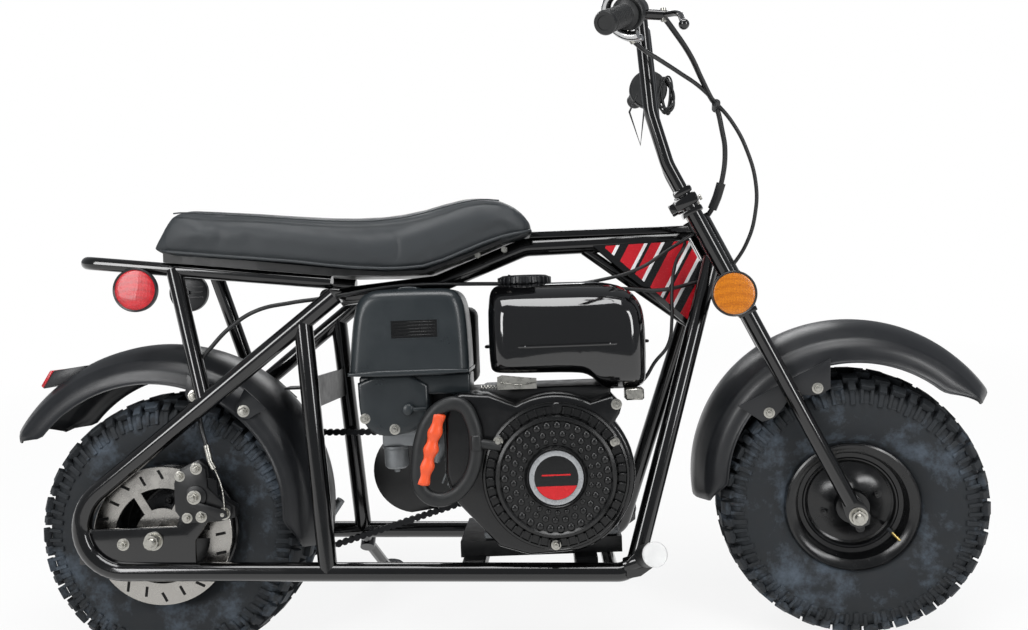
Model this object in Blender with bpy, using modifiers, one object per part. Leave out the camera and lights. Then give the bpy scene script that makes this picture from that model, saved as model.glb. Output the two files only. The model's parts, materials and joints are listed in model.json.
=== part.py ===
# Minibike, parked leaning on its side stand, in metres and +Z up.
#
# Every piece is modelled on the upright bike: +X runs forward, +Y to the rider's left, and the
# rear axle is at X = 0. Empties then turn the steering, lean the bike onto its stand and set the
# middle of its box over the origin, with the tyres and the stand's foot on the floor.

from math import asin, atan2, cos, hypot, pi, radians, sin, sqrt, tan

import bmesh
import bpy
from mathutils import Matrix, Quaternion, Vector

# Clearances
FIT_GAP = 0.0003
WELD_GAP = 0.0005

# Wheels
TYRE_RADIUS = 0.241
TYRE_HALF_WIDTH = 0.089
LUG_HEIGHT = 0.011
LUGS_AROUND = 28
BEAD_RADIUS = 0.1025
BEAD_HALF_WIDTH = 0.064
RIM_LIP_RADIUS = 0.1165
RIM_LIP_WIDTH = 0.008
RIM_WALL = 0.006
RIM_WEB_OFFSET = 0.030
HUB_RADIUS = 0.030
HUB_HALF_LENGTH = 0.072
AXLE_RADIUS = 0.0075
NUT_RADIUS = 0.0125
NUT_WIDTH = 0.011
WASHER_RADIUS = 0.015
WASHER_WIDTH = 0.0025
WHEELBASE = 1.228

# Steering and parking
RAKE = radians(26.4)
STEERED_RIGHT = radians(10.0)
LEAN = radians(10.0)

# Main frame
TUBE_RADIUS = 0.016
FRAME_HALF_WIDTH = 0.145
FRAME_TOP_HALF_WIDTH = 0.128
RAIL_REAR_CORNER = (-0.262, TYRE_RADIUS - 0.043)
RAIL_FRONT_CORNER = (WHEELBASE - 0.415, TYRE_RADIUS - 0.084)
DIAGONAL_TOP = (0.318, TYRE_RADIUS + 0.4064)
REAR_BEND_RADIUS = 0.077
FRONT_BEND_RADIUS = 0.036
DOWNTUBE_TOP = (WHEELBASE - 0.249, 0.042, TYRE_RADIUS + 0.451)
UPRIGHT_TOP_X = 0.262
UPRIGHT_FOOT_X = 0.294
SEAT_CROSS_RADIUS = 0.0125
SEAT_CROSS_X = 0.300
AXLE_PLATE = 0.006
CALIPER_TAB = ((0.112, TYRE_RADIUS + 0.059), (0.104, TYRE_RADIUS + 0.104), (0.062, TYRE_RADIUS + 0.104))
DECK_X = (0.515, 0.800)
DECK_LEFT = 0.085
BEAM_X = (0.540, 0.735)
PEG_TUBE_BACK = 0.036
CROSS_PLATE_X = 0.266
CROSS_PLATE_HALF = 0.1169
CROSS_PLATE_Z = (TYRE_RADIUS + 0.211, TYRE_RADIUS + 0.265)

# Head and backbone
HEAD_RADIUS = 0.0255
HEAD_BORE = 0.0150
STEM_RADIUS = 0.0140
BACKBONE_POINTS = ((0.480, TYRE_RADIUS + 0.4230), (0.645, TYRE_RADIUS + 0.4860),
                   (WHEELBASE - 0.2796, TYRE_RADIUS + 0.4890))
BACKBONE_BEND = 0.060
BRACE_RADIUS = 0.0125
BRACE_REAR = (0.716, TYRE_RADIUS + 0.458)
BRACE_FRONT = (WHEELBASE - 0.231, TYRE_RADIUS + 0.387)
GUSSET_HALF = 0.0195
GUSSET_OUTLINE = ((0.770, TYRE_RADIUS + 0.483), (WHEELBASE - 0.276, TYRE_RADIUS + 0.489),
                  (WHEELBASE - 0.242, TYRE_RADIUS + 0.419), (WHEELBASE - 0.253, TYRE_RADIUS + 0.359),
                  (WHEELBASE - 0.276, TYRE_RADIUS + 0.326))

# Fork
LEG_RADIUS = 0.014
LEG_HALF_SPACING = 0.118
LOWER_CROWN = 0.400
UPPER_CROWN = 0.598
LEG_TOP = UPPER_CROWN + 0.030
HEAD_LOW = LOWER_CROWN + 0.013
HEAD_HIGH = UPPER_CROWN - 0.008
CROWN_THICKNESS = 0.009
CROWN_HALF_DEPTH = 0.021
DROPOUT_WIDTH = 0.006

# Handlebar, beside the leg tops and up to the grips
BAR_RADIUS = 0.012
BAR_RISE = 0.0665
BAR_LOW = (WHEELBASE - (LEG_TOP + BAR_RISE) * sin(RAKE), TYRE_RADIUS + (LEG_TOP + BAR_RISE) * cos(RAKE))
BAR_MIDDLE = (BAR_LOW[0] - 0.026, BAR_LOW[1] + 0.092)
BAR_HIGH = (BAR_MIDDLE[0] - 0.013, BAR_MIDDLE[1] + 0.250)
GRIP_END = (BAR_HIGH[0] - 0.031, 0.384, BAR_HIGH[1] - 0.157)
GRIP_LENGTH = 0.118
GRIP_RADIUS = 0.0165
BAR_BEND = 0.050

# Fenders
FENDER_CROWN = TYRE_RADIUS + 0.090
FENDER_RIDGE = TYRE_RADIUS + 0.065
FENDER_SKIRT = TYRE_RADIUS + 0.025
FENDER_HALF_WIDTH = 0.0965
FENDER_RIDGE_WIDTH = 0.070
FENDER_WALL = 0.003
FRONT_FENDER_CENTRE = (0.003, 0.047)
FRONT_FENDER_CROWN = TYRE_RADIUS + 0.050
FRONT_FENDER_REAR = radians(184.0)
FRONT_FENDER_FRONT = radians(31.0)
REAR_FENDER_CENTRE = (-0.032, TYRE_RADIUS + 0.031)
REAR_FENDER_REAR = radians(153.0)
REAR_FENDER_FRONT = radians(-14.0)
REAR_FENDER_CROWN = TYRE_RADIUS + 0.064
FENDER_TONGUE = (0.1925, TYRE_RADIUS + 0.238)
FENDER_STAY = (0.063, 0.0985, TYRE_RADIUS + 0.257)
FENDER_STAY_END = (0.082, 0.1297, TYRE_RADIUS + 0.257)
STAY_RADIUS = 0.006
LEG_STAY_HEIGHT = TYRE_RADIUS + 0.035
LEG_STAY_REACH = 0.0950

# Rack, seat and lamps
RACK_RADIUS = 0.0115
RACK_HALF_WIDTH = 0.098
RACK_REAR = (-0.132, TYRE_RADIUS + 0.4812)
RACK_FRONT = (0.3065, TYRE_RADIUS + 0.4302)
RACK_BEND = 0.030
STRUT_RADIUS = 0.0135
STRUT_TOP_X = 0.030
STRUT_FOOT_X = 0.089
REFLECTOR_RADIUS = 0.0415
REFLECTOR_THICKNESS = 0.009
RED_REFLECTOR = (-0.031, TYRE_RADIUS + 0.429)
AMBER_REFLECTOR = (WHEELBASE - 0.2025, TYRE_RADIUS + 0.395)
SEAT_PAN_THICKNESS = 0.006

# Engine and drive
SHAFT = (0.688, TYRE_RADIUS + 0.089)
DECK_LOW = TYRE_RADIUS - 0.063
ENGINE_RIGHT = -0.095
ENGINE_LEFT = 0.070
ENGINE_BASE = TYRE_RADIUS - 0.035
ENGINE_TOP = TYRE_RADIUS + 0.233
ENGINE_REAR = 0.470
ENGINE_FRONT = 0.800
SHROUD_RADIUS = 0.137
SHROUD_FACE = -0.160
VOLUTE = ((-0.1880, 0.010), (-0.1880, 0.110), (-0.1760, 0.136), (-0.1578, 0.1434), (-0.1127, 0.1406),
          (-0.0682, 0.1232))
EAR = ((0.1015, 0.1310), (0.1165, 0.1150), (0.1117, 0.0996))
VOLUTE_FOOT = ((-0.0494, -0.1346), (-0.0998, -0.1187), (-0.1784, -0.0311))
RECOIL_RADIUS = 0.124
RECOIL_FACE = -0.1865
TANK_LOW = (0.579, -0.130, ENGINE_TOP + WELD_GAP)
TANK_HIGH = (0.849, 0.085, TYRE_RADIUS + 0.409)
CAP_CENTRE = (0.636, -0.030)
AIR_CLEANER_LOW = (0.343, -0.140, TYRE_RADIUS + 0.273)
AIR_CLEANER_HIGH = (0.541, -0.020, TYRE_RADIUS + 0.409)
CARBURETTOR_LOW = (0.352, -0.105, TYRE_RADIUS + 0.164)
MUFFLER_LOW = (0.350, -0.010, ENGINE_TOP + WELD_GAP)
MUFFLER_HIGH = (0.560, 0.090, TYRE_RADIUS + 0.379)
CAP_RADIUS = 0.052
CHAIN_PLANE = 0.1000
CHAIN_WIDTH = 0.010
CHAIN_HEIGHT = 0.012
REAR_SPROCKET_RADIUS = 0.148
FRONT_SPROCKET_RADIUS = 0.040
SPROCKET_WIDTH = 0.005
CLUTCH_RADIUS = 0.060
GUARD_PLANE = 0.1065
GUARD_THICKNESS = 0.003
GUARD_REAR = (0.405, TYRE_RADIUS + 0.067)
GUARD_REAR_RADIUS = 0.086
GUARD_FRONT_RADIUS = 0.076
HANDLE_CENTRE = (SHAFT[0] - 0.184, SHAFT[1] + 0.055)
HANDLE_SIZE = (0.104, 0.168)
HANDLE_RADIUS = 0.0105
DISC_PLANE = -0.112
DISC_RADIUS = 0.121
DISC_WIDTH = 0.005

# Side stand
STAND_PIVOT = (0.293, 0.185, TYRE_RADIUS - 0.101)
STAND_FOOT = (0.315, 0.285)
STAND_RADIUS = 0.011
PAD_RADIUS = 0.036
PAD_THICKNESS = 0.016

# Brake caliper, on a tab of the right axle plate
CALIPER_LOW = (0.048, TYRE_RADIUS + 0.041)
CALIPER_HIGH = (0.124, TYRE_RADIUS + 0.119)
CALIPER_CLEARANCE = 0.005

# Tail lamp on the fender's crown
LAMP_SPAN = (radians(115.5), radians(134.5))
LAMP_RISE = ((radians(133.8), 0.0050), (radians(126.5), 0.0180), (radians(116.5), 0.0040))
LAMP_HALF_WIDTH = 0.037

# Stop switch on the left bar
SWITCH_RADIUS = 0.0195
SWITCH_LENGTH = 0.026

# Foot pegs
PEG_RADIUS = 0.020
PEG_SADDLE_BACK = 0.034
PEG_INNER = (WHEELBASE - 0.396, 0.166, TYRE_RADIUS - 0.051)
PEG_OUTER = (WHEELBASE - 0.390, 0.262, TYRE_RADIUS - 0.022)

AXLE = Vector((0.0, 0.0, TYRE_RADIUS))
FRONT_AXLE = Vector((WHEELBASE, 0.0, TYRE_RADIUS))
STEER_AXIS = Vector((-sin(RAKE), 0.0, cos(RAKE)))
STEER_FORWARD = Vector((cos(RAKE), 0.0, sin(RAKE)))


# Materials

def srgb(code):
    """Linear colour from a hex code."""
    values = [int(code[i:i + 2], 16) / 255.0 for i in (0, 2, 4)]
    return [c / 12.92 if c <= 0.04045 else ((c + 0.055) / 1.055) ** 2.4 for c in values] + [1.0]


def finish(name, code, roughness, metallic=0.0):
    """A Principled material of one colour."""
    made = bpy.data.materials.new(name)
    made.use_nodes = True
    shader = made.node_tree.nodes["Principled BSDF"]
    shader.inputs["Base Color"].default_value = srgb(code)
    shader.inputs["Roughness"].default_value = roughness
    shader.inputs["Metallic"].default_value = metallic
    made.diffuse_color = srgb(code)
    return made


# Building blocks

def put(name, data, parent, material):
    """Link one named piece below its empty."""
    piece = bpy.data.objects.new(name, data)
    parts.objects.link(piece)
    piece.parent = parent
    if material:
        data.materials.append(material)
    return piece


def empty(name, place, parent=None):
    """An axis or a carrier."""
    made = bpy.data.objects.new(name, None)
    parts.objects.link(made)
    made.parent = parent
    made.location = place
    return made


def bent(corners, radii, steps=5):
    """Points of a path whose corners are arcs of the given radii."""
    corners = [Vector(c) for c in corners]
    path = [corners[0]]
    for before, corner, after, radius in zip(corners, corners[1:], corners[2:], radii):
        to_before = (before - corner).normalized()
        to_after = (after - corner).normalized()
        half = to_before.angle(to_after) / 2
        middle = (to_before + to_after).normalized()
        centre = corner + middle * (radius / sin(half))
        start = corner + to_before * (radius / tan(half)) - centre
        turn = pi - 2 * half
        axis = start.cross(corner - centre).normalized()
        for step in range(steps + 1):
            path.append(centre + Quaternion(axis, turn * step / steps) @ start)
    path.append(corners[-1])
    return path


def tube(name, path, radius, parent, material, sides=4):
    """A round bar or tube along a path, with closed ends."""
    curve = bpy.data.curves.new(name, "CURVE")
    curve.dimensions = "3D"
    curve.bevel_depth = radius
    curve.bevel_resolution = sides
    curve.use_fill_caps = True
    line = curve.splines.new("POLY")
    line.points.add(len(path) - 1)
    for point, place in zip(line.points, path):
        point.co = (*place, 1.0)
    line.use_smooth = True
    return put(name, curve, parent, material)


def solid_copy(piece):
    """The curve as a welded mesh object, in its place."""
    bpy.context.view_layer.update()
    seen = piece.evaluated_get(bpy.context.evaluated_depsgraph_get())
    mesh = bpy.data.meshes.new_from_object(seen)
    welded = bmesh.new()
    welded.from_mesh(mesh)
    bmesh.ops.remove_doubles(welded, verts=welded.verts, dist=0.00001)
    welded.to_mesh(mesh)
    welded.free()
    made = bpy.data.objects.new(piece.name, mesh)
    parts.objects.link(made)
    made.parent = piece.parent
    made.matrix_world = piece.matrix_world
    name = piece.name
    bpy.data.objects.remove(piece)
    made.name = name
    return made


def combine(kept, others, operation="UNION"):
    """Join others to kept, or cut them out of it, and drop them."""
    for other in others:
        change = kept.modifiers.new(operation.title(), "BOOLEAN")
        change.operation = operation
        change.object = other
        bpy.context.view_layer.update()
        seen = kept.evaluated_get(bpy.context.evaluated_depsgraph_get())
        mesh = bpy.data.meshes.new_from_object(seen)
        kept.modifiers.clear()
        kept.data = mesh
        bpy.data.objects.remove(other)
    return kept


def round_off(mesh_owner, angle=35.0):
    """Smooth shading up to the given edge angle."""
    mesh_owner.data.shade_smooth()
    mesh_owner.data.set_sharp_from_angle(angle=radians(angle))
    return mesh_owner


def mesh_piece(name, shape, parent, material):
    """A piece from a finished bmesh."""
    mesh = bpy.data.meshes.new(name)
    shape.to_mesh(mesh)
    shape.free()
    return round_off(put(name, mesh, parent, material))


def block(name, low, high, parent, material, rounding=0.0, segments=2):
    """A box between two corners, with rounded edges."""
    low, high = Vector(low), Vector(high)
    shape = bmesh.new()
    bmesh.ops.create_cube(shape, size=1.0)
    size = high - low
    bmesh.ops.scale(shape, vec=size, verts=shape.verts)
    bmesh.ops.translate(shape, vec=(low + high) / 2, verts=shape.verts)
    if rounding:
        bmesh.ops.bevel(shape, geom=shape.edges[:], offset=rounding, affect="EDGES",
                        segments=segments, profile=0.5)
    return mesh_piece(name, shape, parent, material)


def turned(name, profile, parent, material, steps=32, place=(0, 0, 0), along=None, ring=False):
    """A shape turned about Y: its profile is (radius, y), down the outer side from the high y."""
    mesh = bpy.data.meshes.new(name)
    points = [(radius, 0.0, y) for radius, y in profile]
    edges = [(i, i + 1) for i in range(len(points) - 1)]
    if ring:
        edges.append((len(points) - 1, 0))
    mesh.from_pydata(points, edges, [])
    piece = put(name, mesh, parent, material)
    screw = piece.modifiers.new("Turn", "SCREW")
    screw.axis = "Z"
    screw.steps = steps
    screw.render_steps = steps
    screw.use_merge_vertices = True
    screw.merge_threshold = 0.00001
    screw.use_smooth_shade = False
    piece.location = place
    direction = Vector(along) if along else Vector((0, 1, 0))
    piece.rotation_mode = "QUATERNION"
    piece.rotation_quaternion = Vector((0, 0, 1)).rotation_difference(direction.normalized())
    return piece


def rod(name, start, end, radius, parent, material, steps=16):
    """A straight round bar between two points."""
    start, end = Vector(start), Vector(end)
    length = (end - start).length
    profile = ((0, length), (radius, length), (radius, 0), (0, 0))
    return turned(name, profile, parent, material, steps, start, end - start)


def plate(name, outline, low_y, high_y, parent, material):
    """A flat plate across the bike: its outline is (x, z)."""
    curve = bpy.data.curves.new(name, "CURVE")
    curve.dimensions = "2D"
    curve.fill_mode = "BOTH"
    curve.extrude = abs(high_y - low_y) / 2
    line = curve.splines.new("POLY")
    line.points.add(len(outline) - 1)
    for point, (x, z) in zip(line.points, outline):
        point.co = (x, z, 0.0, 1.0)
    line.use_cyclic_u = True
    piece = put(name, curve, parent, material)
    piece.rotation_euler = (pi / 2, 0.0, 0.0)
    piece.location = (0.0, (low_y + high_y) / 2, 0.0)
    return piece


def arc(centre, radius, start, end, steps):
    """Points of an arc in the (x, z) plane, from one angle to another."""
    return [(centre[0] + radius * cos(start + (end - start) * i / steps),
             centre[1] + radius * sin(start + (end - start) * i / steps)) for i in range(steps + 1)]


# Wheels

TREAD_BANDS = ((0.0, 0.0), (0.020, 0.0007), (0.056, 0.0065), (0.084, 0.0240))


def tread_drop(y):
    """How far the tread lies below its crown at a distance from the middle."""
    points = TREAD_BANDS
    for (near, low), (far, high) in zip(points, points[1:]):
        if abs(y) <= far:
            return low + (high - low) * (abs(y) - near) / (far - near)
    return points[-1][1]


def tyre(name, parent, material):
    """A knobbly tyre: a turned ring whose tread has a chequer of blocks."""
    base = TYRE_RADIUS - LUG_HEIGHT
    edge = [(-y, base - drop) for y, drop in reversed(TREAD_BANDS[1:])]
    edge += [(y, base - drop) for y, drop in TREAD_BANDS[1:]]
    wall = [(BEAD_HALF_WIDTH, BEAD_RADIUS), (BEAD_HALF_WIDTH, RIM_LIP_RADIUS + 0.003),
            (TYRE_HALF_WIDTH, 0.160), (TYRE_HALF_WIDTH - 0.001, 0.190)]
    outline = [(-y, r) for y, r in wall] + edge + list(reversed(wall))
    segments = 2 * LUGS_AROUND
    shape = bmesh.new()
    verts = [shape.verts.new((r, y, 0.0)) for y, r in outline]
    edges = [shape.edges.new((a, b)) for a, b in zip(verts, verts[1:] + verts[:1])]
    bmesh.ops.spin(shape, geom=verts + edges, cent=(0, 0, 0), axis=(0, 1, 0), angle=2 * pi,
                   steps=segments, use_merge=True)
    bmesh.ops.remove_doubles(shape, verts=shape.verts, dist=0.00001)
    bmesh.ops.recalc_face_normals(shape, faces=shape.faces)
    blocks = []
    limits = [y for y, _ in edge]
    for face in shape.faces:
        middle = face.calc_center_median()
        if hypot(middle.x, middle.z) < base - 0.030:
            continue
        for band, (low, high) in enumerate(zip(limits, limits[1:])):
            if low < middle.y < high:
                turn = int(atan2(middle.z, middle.x) / (2 * pi) * segments + segments)
                if (turn + band) % 2 == 0:
                    blocks.append(face)
    made = bmesh.ops.extrude_discrete_faces(shape, faces=blocks)
    for face in made["faces"]:
        middle = face.calc_center_median()
        outward = Vector((middle.x, 0.0, middle.z)).normalized()
        for vert in face.verts:
            vert.co = middle + (vert.co - middle) * 0.86
        grown = 0.0
        for vert in face.verts:
            grown = max(grown, hypot(vert.co.x, vert.co.z) + tread_drop(vert.co.y))
        bmesh.ops.translate(shape, verts=face.verts, vec=outward * (TYRE_RADIUS - grown))
    return mesh_piece(name, shape, parent, material)


def rim_profile(web_side):
    """Closed section of the dished rim with its hub: (radius, y)."""
    lip = BEAD_HALF_WIDTH + FIT_GAP + RIM_LIP_WIDTH
    seat = BEAD_RADIUS - FIT_GAP
    inner = seat - RIM_WALL
    bore = AXLE_RADIUS + FIT_GAP
    web = RIM_WEB_OFFSET * web_side
    half_web = RIM_WALL / 2
    outer = [(inner, lip), (RIM_LIP_RADIUS, lip), (RIM_LIP_RADIUS, lip - RIM_LIP_WIDTH),
             (seat, lip - RIM_LIP_WIDTH), (seat, RIM_LIP_WIDTH - lip), (RIM_LIP_RADIUS, RIM_LIP_WIDTH - lip),
             (RIM_LIP_RADIUS, -lip), (inner, -lip)]
    low = [(inner, web - half_web), (0.062, web - half_web - 0.008), (HUB_RADIUS, web - half_web - 0.008),
           (HUB_RADIUS, -HUB_HALF_LENGTH), (bore, -HUB_HALF_LENGTH)]
    high = [(bore, HUB_HALF_LENGTH), (HUB_RADIUS, HUB_HALF_LENGTH), (HUB_RADIUS, web + half_web - 0.008),
            (0.062, web + half_web - 0.008), (inner, web + half_web)]
    return outer + low + high


def rim(name, parent, material, web_side):
    """A pressed steel rim, dished towards one side, with its hub."""
    return turned(name, rim_profile(web_side), parent, material, steps=24, ring=True)


def axle(name, parent, material, inner, outer):
    """An axle with spacers, washers and nuts: its plates lie between inner and outer."""
    washer = outer + FIT_GAP + WASHER_WIDTH
    nut = washer + NUT_WIDTH
    half_length = nut + 0.006
    shoulder = inner - FIT_GAP
    steps = ((AXLE_RADIUS, half_length), (AXLE_RADIUS, nut), (NUT_RADIUS, nut), (NUT_RADIUS, washer),
             (WASHER_RADIUS, washer), (WASHER_RADIUS, washer - WASHER_WIDTH),
             (AXLE_RADIUS, washer - WASHER_WIDTH), (AXLE_RADIUS, shoulder),
             (AXLE_RADIUS + 0.004, shoulder), (AXLE_RADIUS + 0.004, HUB_HALF_LENGTH + FIT_GAP),
             (AXLE_RADIUS, HUB_HALF_LENGTH + FIT_GAP))
    profile = [(0, half_length), *steps, *[(r, -y) for r, y in reversed(steps)], (0, -half_length)]
    return turned(name, profile, parent, material, steps=10)


# Fenders

def fender(name, parent, material, centre, crown, start, end, steps):
    """A moulded mudguard: a crowned section swept round the wheel, with a wall."""
    drop = FENDER_CROWN - FENDER_RIDGE
    skirt = FENDER_CROWN - FENDER_SKIRT
    half = ((0.0, 0.0), (0.030, 0.004), (0.056, 0.013), (FENDER_RIDGE_WIDTH + 0.008, drop),
            (FENDER_HALF_WIDTH - FENDER_WALL, drop + 0.016), (FENDER_HALF_WIDTH - FENDER_WALL / 2, skirt))
    section = [(-y, d) for y, d in reversed(half[1:])] + list(half)
    shape = bmesh.new()
    verts = [shape.verts.new((crown - d, y, 0.0)) for y, d in section]
    edges = [shape.edges.new((a, b)) for a, b in zip(verts, verts[1:])]
    bmesh.ops.rotate(shape, verts=verts, cent=(0, 0, 0), matrix=Matrix.Rotation(-start, 3, "Y"))
    bmesh.ops.spin(shape, geom=verts + edges, cent=(0, 0, 0), axis=(0, 1, 0), angle=start - end,
                   steps=steps, use_merge=False)
    bmesh.ops.translate(shape, verts=shape.verts, vec=(centre[0], 0.0, centre[1]))
    bmesh.ops.recalc_face_normals(shape, faces=shape.faces)
    middle = shape.faces[:][0]
    away = middle.calc_center_median() - Vector((centre[0], 0.0, centre[1]))
    if middle.normal.dot(away) < 0:
        bmesh.ops.reverse_faces(shape, faces=shape.faces)
    piece = mesh_piece(name, shape, parent, material)
    wall = piece.modifiers.new("Wall", "SOLIDIFY")
    wall.thickness = FENDER_WALL
    wall.offset = -1.0
    return piece


# Frame

def rail_height(x):
    """Height of the lower rail's middle at x."""
    (x0, z0), (x1, z1) = RAIL_REAR_CORNER, RAIL_FRONT_CORNER
    return z0 + (z1 - z0) * (x - x0) / (x1 - x0)


def diagonal_height(x):
    """Height of the diagonal's middle at x."""
    (x0, z0), (x1, z1) = RAIL_REAR_CORNER, DIAGONAL_TOP
    return z0 + (z1 - z0) * (x - x0) / (x1 - x0)


def diagonal_half_width(x):
    """Half the frame's width at the diagonal's x."""
    share = (x - RAIL_REAR_CORNER[0]) / (DIAGONAL_TOP[0] - RAIL_REAR_CORNER[0])
    return FRAME_HALF_WIDTH + (FRAME_TOP_HALF_WIDTH - FRAME_HALF_WIDTH) * share


def frame_side(name, side, parent, material):
    """One side of the welded frame: loop, upright, downtube and axle plate in one piece."""
    half = FRAME_HALF_WIDTH * side
    corners = ((DIAGONAL_TOP[0], FRAME_TOP_HALF_WIDTH * side, DIAGONAL_TOP[1]),
               (RAIL_REAR_CORNER[0], half, RAIL_REAR_CORNER[1]),
               (RAIL_FRONT_CORNER[0], half, RAIL_FRONT_CORNER[1]),
               (DOWNTUBE_TOP[0], DOWNTUBE_TOP[1] * side, DOWNTUBE_TOP[2]))
    path = bent(corners, (REAR_BEND_RADIUS, FRONT_BEND_RADIUS), steps=8)
    loop = solid_copy(tube(name, path, TUBE_RADIUS, parent, material))
    top = (UPRIGHT_TOP_X, diagonal_half_width(UPRIGHT_TOP_X) * side, diagonal_height(UPRIGHT_TOP_X))
    foot = (UPRIGHT_FOOT_X, half, rail_height(UPRIGHT_FOOT_X))
    upright = solid_copy(tube("upright", (top, foot), TUBE_RADIUS * 0.985, parent, material))
    low = rail_height(0.0) + TUBE_RADIUS * 0.4
    tab = CALIPER_TAB if side < 0 else ()
    outline = ((-0.128, low + 0.004), (0.070, low), (0.070, TYRE_RADIUS - 0.003), *tab,
               (0.040, TYRE_RADIUS + 0.023), (-0.128, TYRE_RADIUS + 0.023))
    welded = solid_copy(plate("axle_plate", outline, half - AXLE_PLATE / 2, half + AXLE_PLATE / 2, parent,
                               material))
    bore = solid_copy(rod_curve("bore", (0.0, half - 0.02, TYRE_RADIUS), (0.0, half + 0.02, TYRE_RADIUS),
                                AXLE_RADIUS + FIT_GAP, parent))
    combine(loop, (upright, welded))
    if side > 0:
        combine(loop, (stand_bracket(parent, material),))
    combine(loop, (bore,), "DIFFERENCE")
    return round_off(loop)


def stand_bracket(parent, material):
    """The short arm that carries the stand's pivot, welded below the left rail."""
    top = Vector((STAND_PIVOT[0], FRAME_HALF_WIDTH, rail_height(STAND_PIVOT[0])))
    pivot = Vector(STAND_PIVOT)
    away = pivot - top
    away.x = 0
    away.normalize()
    end = pivot - away * (STAND_RADIUS + 0.004 + FIT_GAP)
    return solid_copy(tube("stand_bracket", (top, end), 0.010, parent, material, sides=2))


def rod_curve(name, start, end, radius, parent):
    """A straight cutter."""
    return tube(name, (start, end), radius, parent, None)


def rack_height(x):
    """Height of the rack tube's middle at x."""
    (x0, z0), (x1, z1) = RACK_REAR, RACK_FRONT
    return z0 + (z1 - z0) * (x - x0) / (x1 - x0)


def seat_cross_height():
    """Height of the cross tube that the rack's ends rest on."""
    return rack_height(SEAT_CROSS_X) - RACK_RADIUS - SEAT_CROSS_RADIUS - WELD_GAP


def backbone(parent, material):
    """The single tube under the seat, from the cross tube to the head."""
    rear = (SEAT_CROSS_X, 0.0, seat_cross_height())
    corners = (rear, *[(x, 0.0, z) for x, z in BACKBONE_POINTS])
    spine = solid_copy(tube("backbone", bent(corners, (BACKBONE_BEND, BACKBONE_BEND), steps=4),
                            TUBE_RADIUS, parent, material))
    high = Vector((BRACE_REAR[0], 0, BRACE_REAR[1] + TUBE_RADIUS))
    low = Vector((BRACE_FRONT[0], 0, BRACE_FRONT[1]))
    brace = solid_copy(tube("brace", (high, low), BRACE_RADIUS, parent, material, sides=3))
    half = FRAME_TOP_HALF_WIDTH - TUBE_RADIUS - FIT_GAP
    cross = solid_copy(rod("seat_cross", (SEAT_CROSS_X, -half, seat_cross_height()),
                           (SEAT_CROSS_X, half, seat_cross_height()), SEAT_CROSS_RADIUS, parent, material, 14))
    web = solid_copy(plate("gusset", GUSSET_OUTLINE, -GUSSET_HALF, GUSSET_HALF, parent, material))
    return round_off(combine(spine, (brace, cross, web)))


def head_tube(parent, material):
    """The steering head, a thick tube along the steering axis."""
    low = FRONT_AXLE + STEER_AXIS * HEAD_LOW
    length = HEAD_HIGH - HEAD_LOW
    profile = ((HEAD_BORE, length), (HEAD_RADIUS, length), (HEAD_RADIUS, 0), (HEAD_BORE, 0))
    return turned("head_tube", profile, parent, material, 24, low, STEER_AXIS, ring=True)


# Fork, handlebar and their fittings: places are from the front axle

def steered(x, y, z):
    """A place on the straight-ahead bike, seen from the front axle."""
    return Vector((x, y, z)) - FRONT_AXLE


def fork_leg(name, side, parent, material):
    """One straight fork tube with its flattened dropout."""
    y = LEG_HALF_SPACING * side
    low = STEER_AXIS * 0.026 + Vector((0, y, 0))
    high = STEER_AXIS * LEG_TOP + Vector((0, y, 0))
    leg = solid_copy(tube(name, (low, high), LEG_RADIUS, parent, material))
    outline = []
    for along, across in ((-0.020, -0.012), (-0.020, 0.012), (-0.006, 0.019), (0.012, 0.019),
                          (0.045, 0.012), (0.045, -0.012), (0.012, -0.019), (-0.006, -0.019)):
        spot = STEER_AXIS * along + STEER_FORWARD * across
        outline.append((spot.x, spot.z))
    half = DROPOUT_WIDTH / 2
    flat = solid_copy(plate("dropout", outline, y - half, y + half, parent, material))
    bore = solid_copy(rod_curve("bore", (0, y - 0.02, 0), (0, y + 0.02, 0), AXLE_RADIUS + FIT_GAP, parent))
    middle = STEER_AXIS * LEG_STAY_HEIGHT
    stay = solid_copy(rod("stay", middle + Vector((0, y, 0)),
                          middle + Vector((0, LEG_STAY_REACH * side, 0)), 0.008, parent, material, 10))
    combine(leg, (flat, stay))
    combine(leg, (bore,), "DIFFERENCE")
    return round_off(leg)


def crown_plate(name, height, parent, material):
    """A fork crown: a waisted plate bored for both legs."""
    half = LEG_HALF_SPACING + LEG_RADIUS + 0.004
    depth = CROWN_HALF_DEPTH
    outline = ((-half, -depth * 0.8), (-0.040, -depth), (0.040, -depth), (half, -depth * 0.8),
               (half, depth * 0.8), (0.040, depth), (-0.040, depth), (-half, depth * 0.8))
    shape = bmesh.new()
    verts = []
    for across, forward in outline:
        spot = STEER_FORWARD * forward + Vector((0, across, 0)) + STEER_AXIS * height
        verts.append(shape.verts.new(spot))
    face = shape.faces.new(verts)
    grown = bmesh.ops.extrude_face_region(shape, geom=[face])
    tops = [v for v in grown["geom"] if isinstance(v, bmesh.types.BMVert)]
    bmesh.ops.translate(shape, verts=tops, vec=STEER_AXIS * CROWN_THICKNESS)
    bmesh.ops.recalc_face_normals(shape, faces=shape.faces)
    made = mesh_piece(name, shape, parent, material)
    cutters = []
    for side in (-1, 1):
        middle = STEER_AXIS * height + Vector((0, LEG_HALF_SPACING * side, 0))
        cutters.append(solid_copy(rod_curve("bore", middle - STEER_AXIS * 0.02,
                                            middle + STEER_AXIS * 0.04, LEG_RADIUS + FIT_GAP, parent)))
    return round_off(combine(made, cutters, "DIFFERENCE"))


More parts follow.
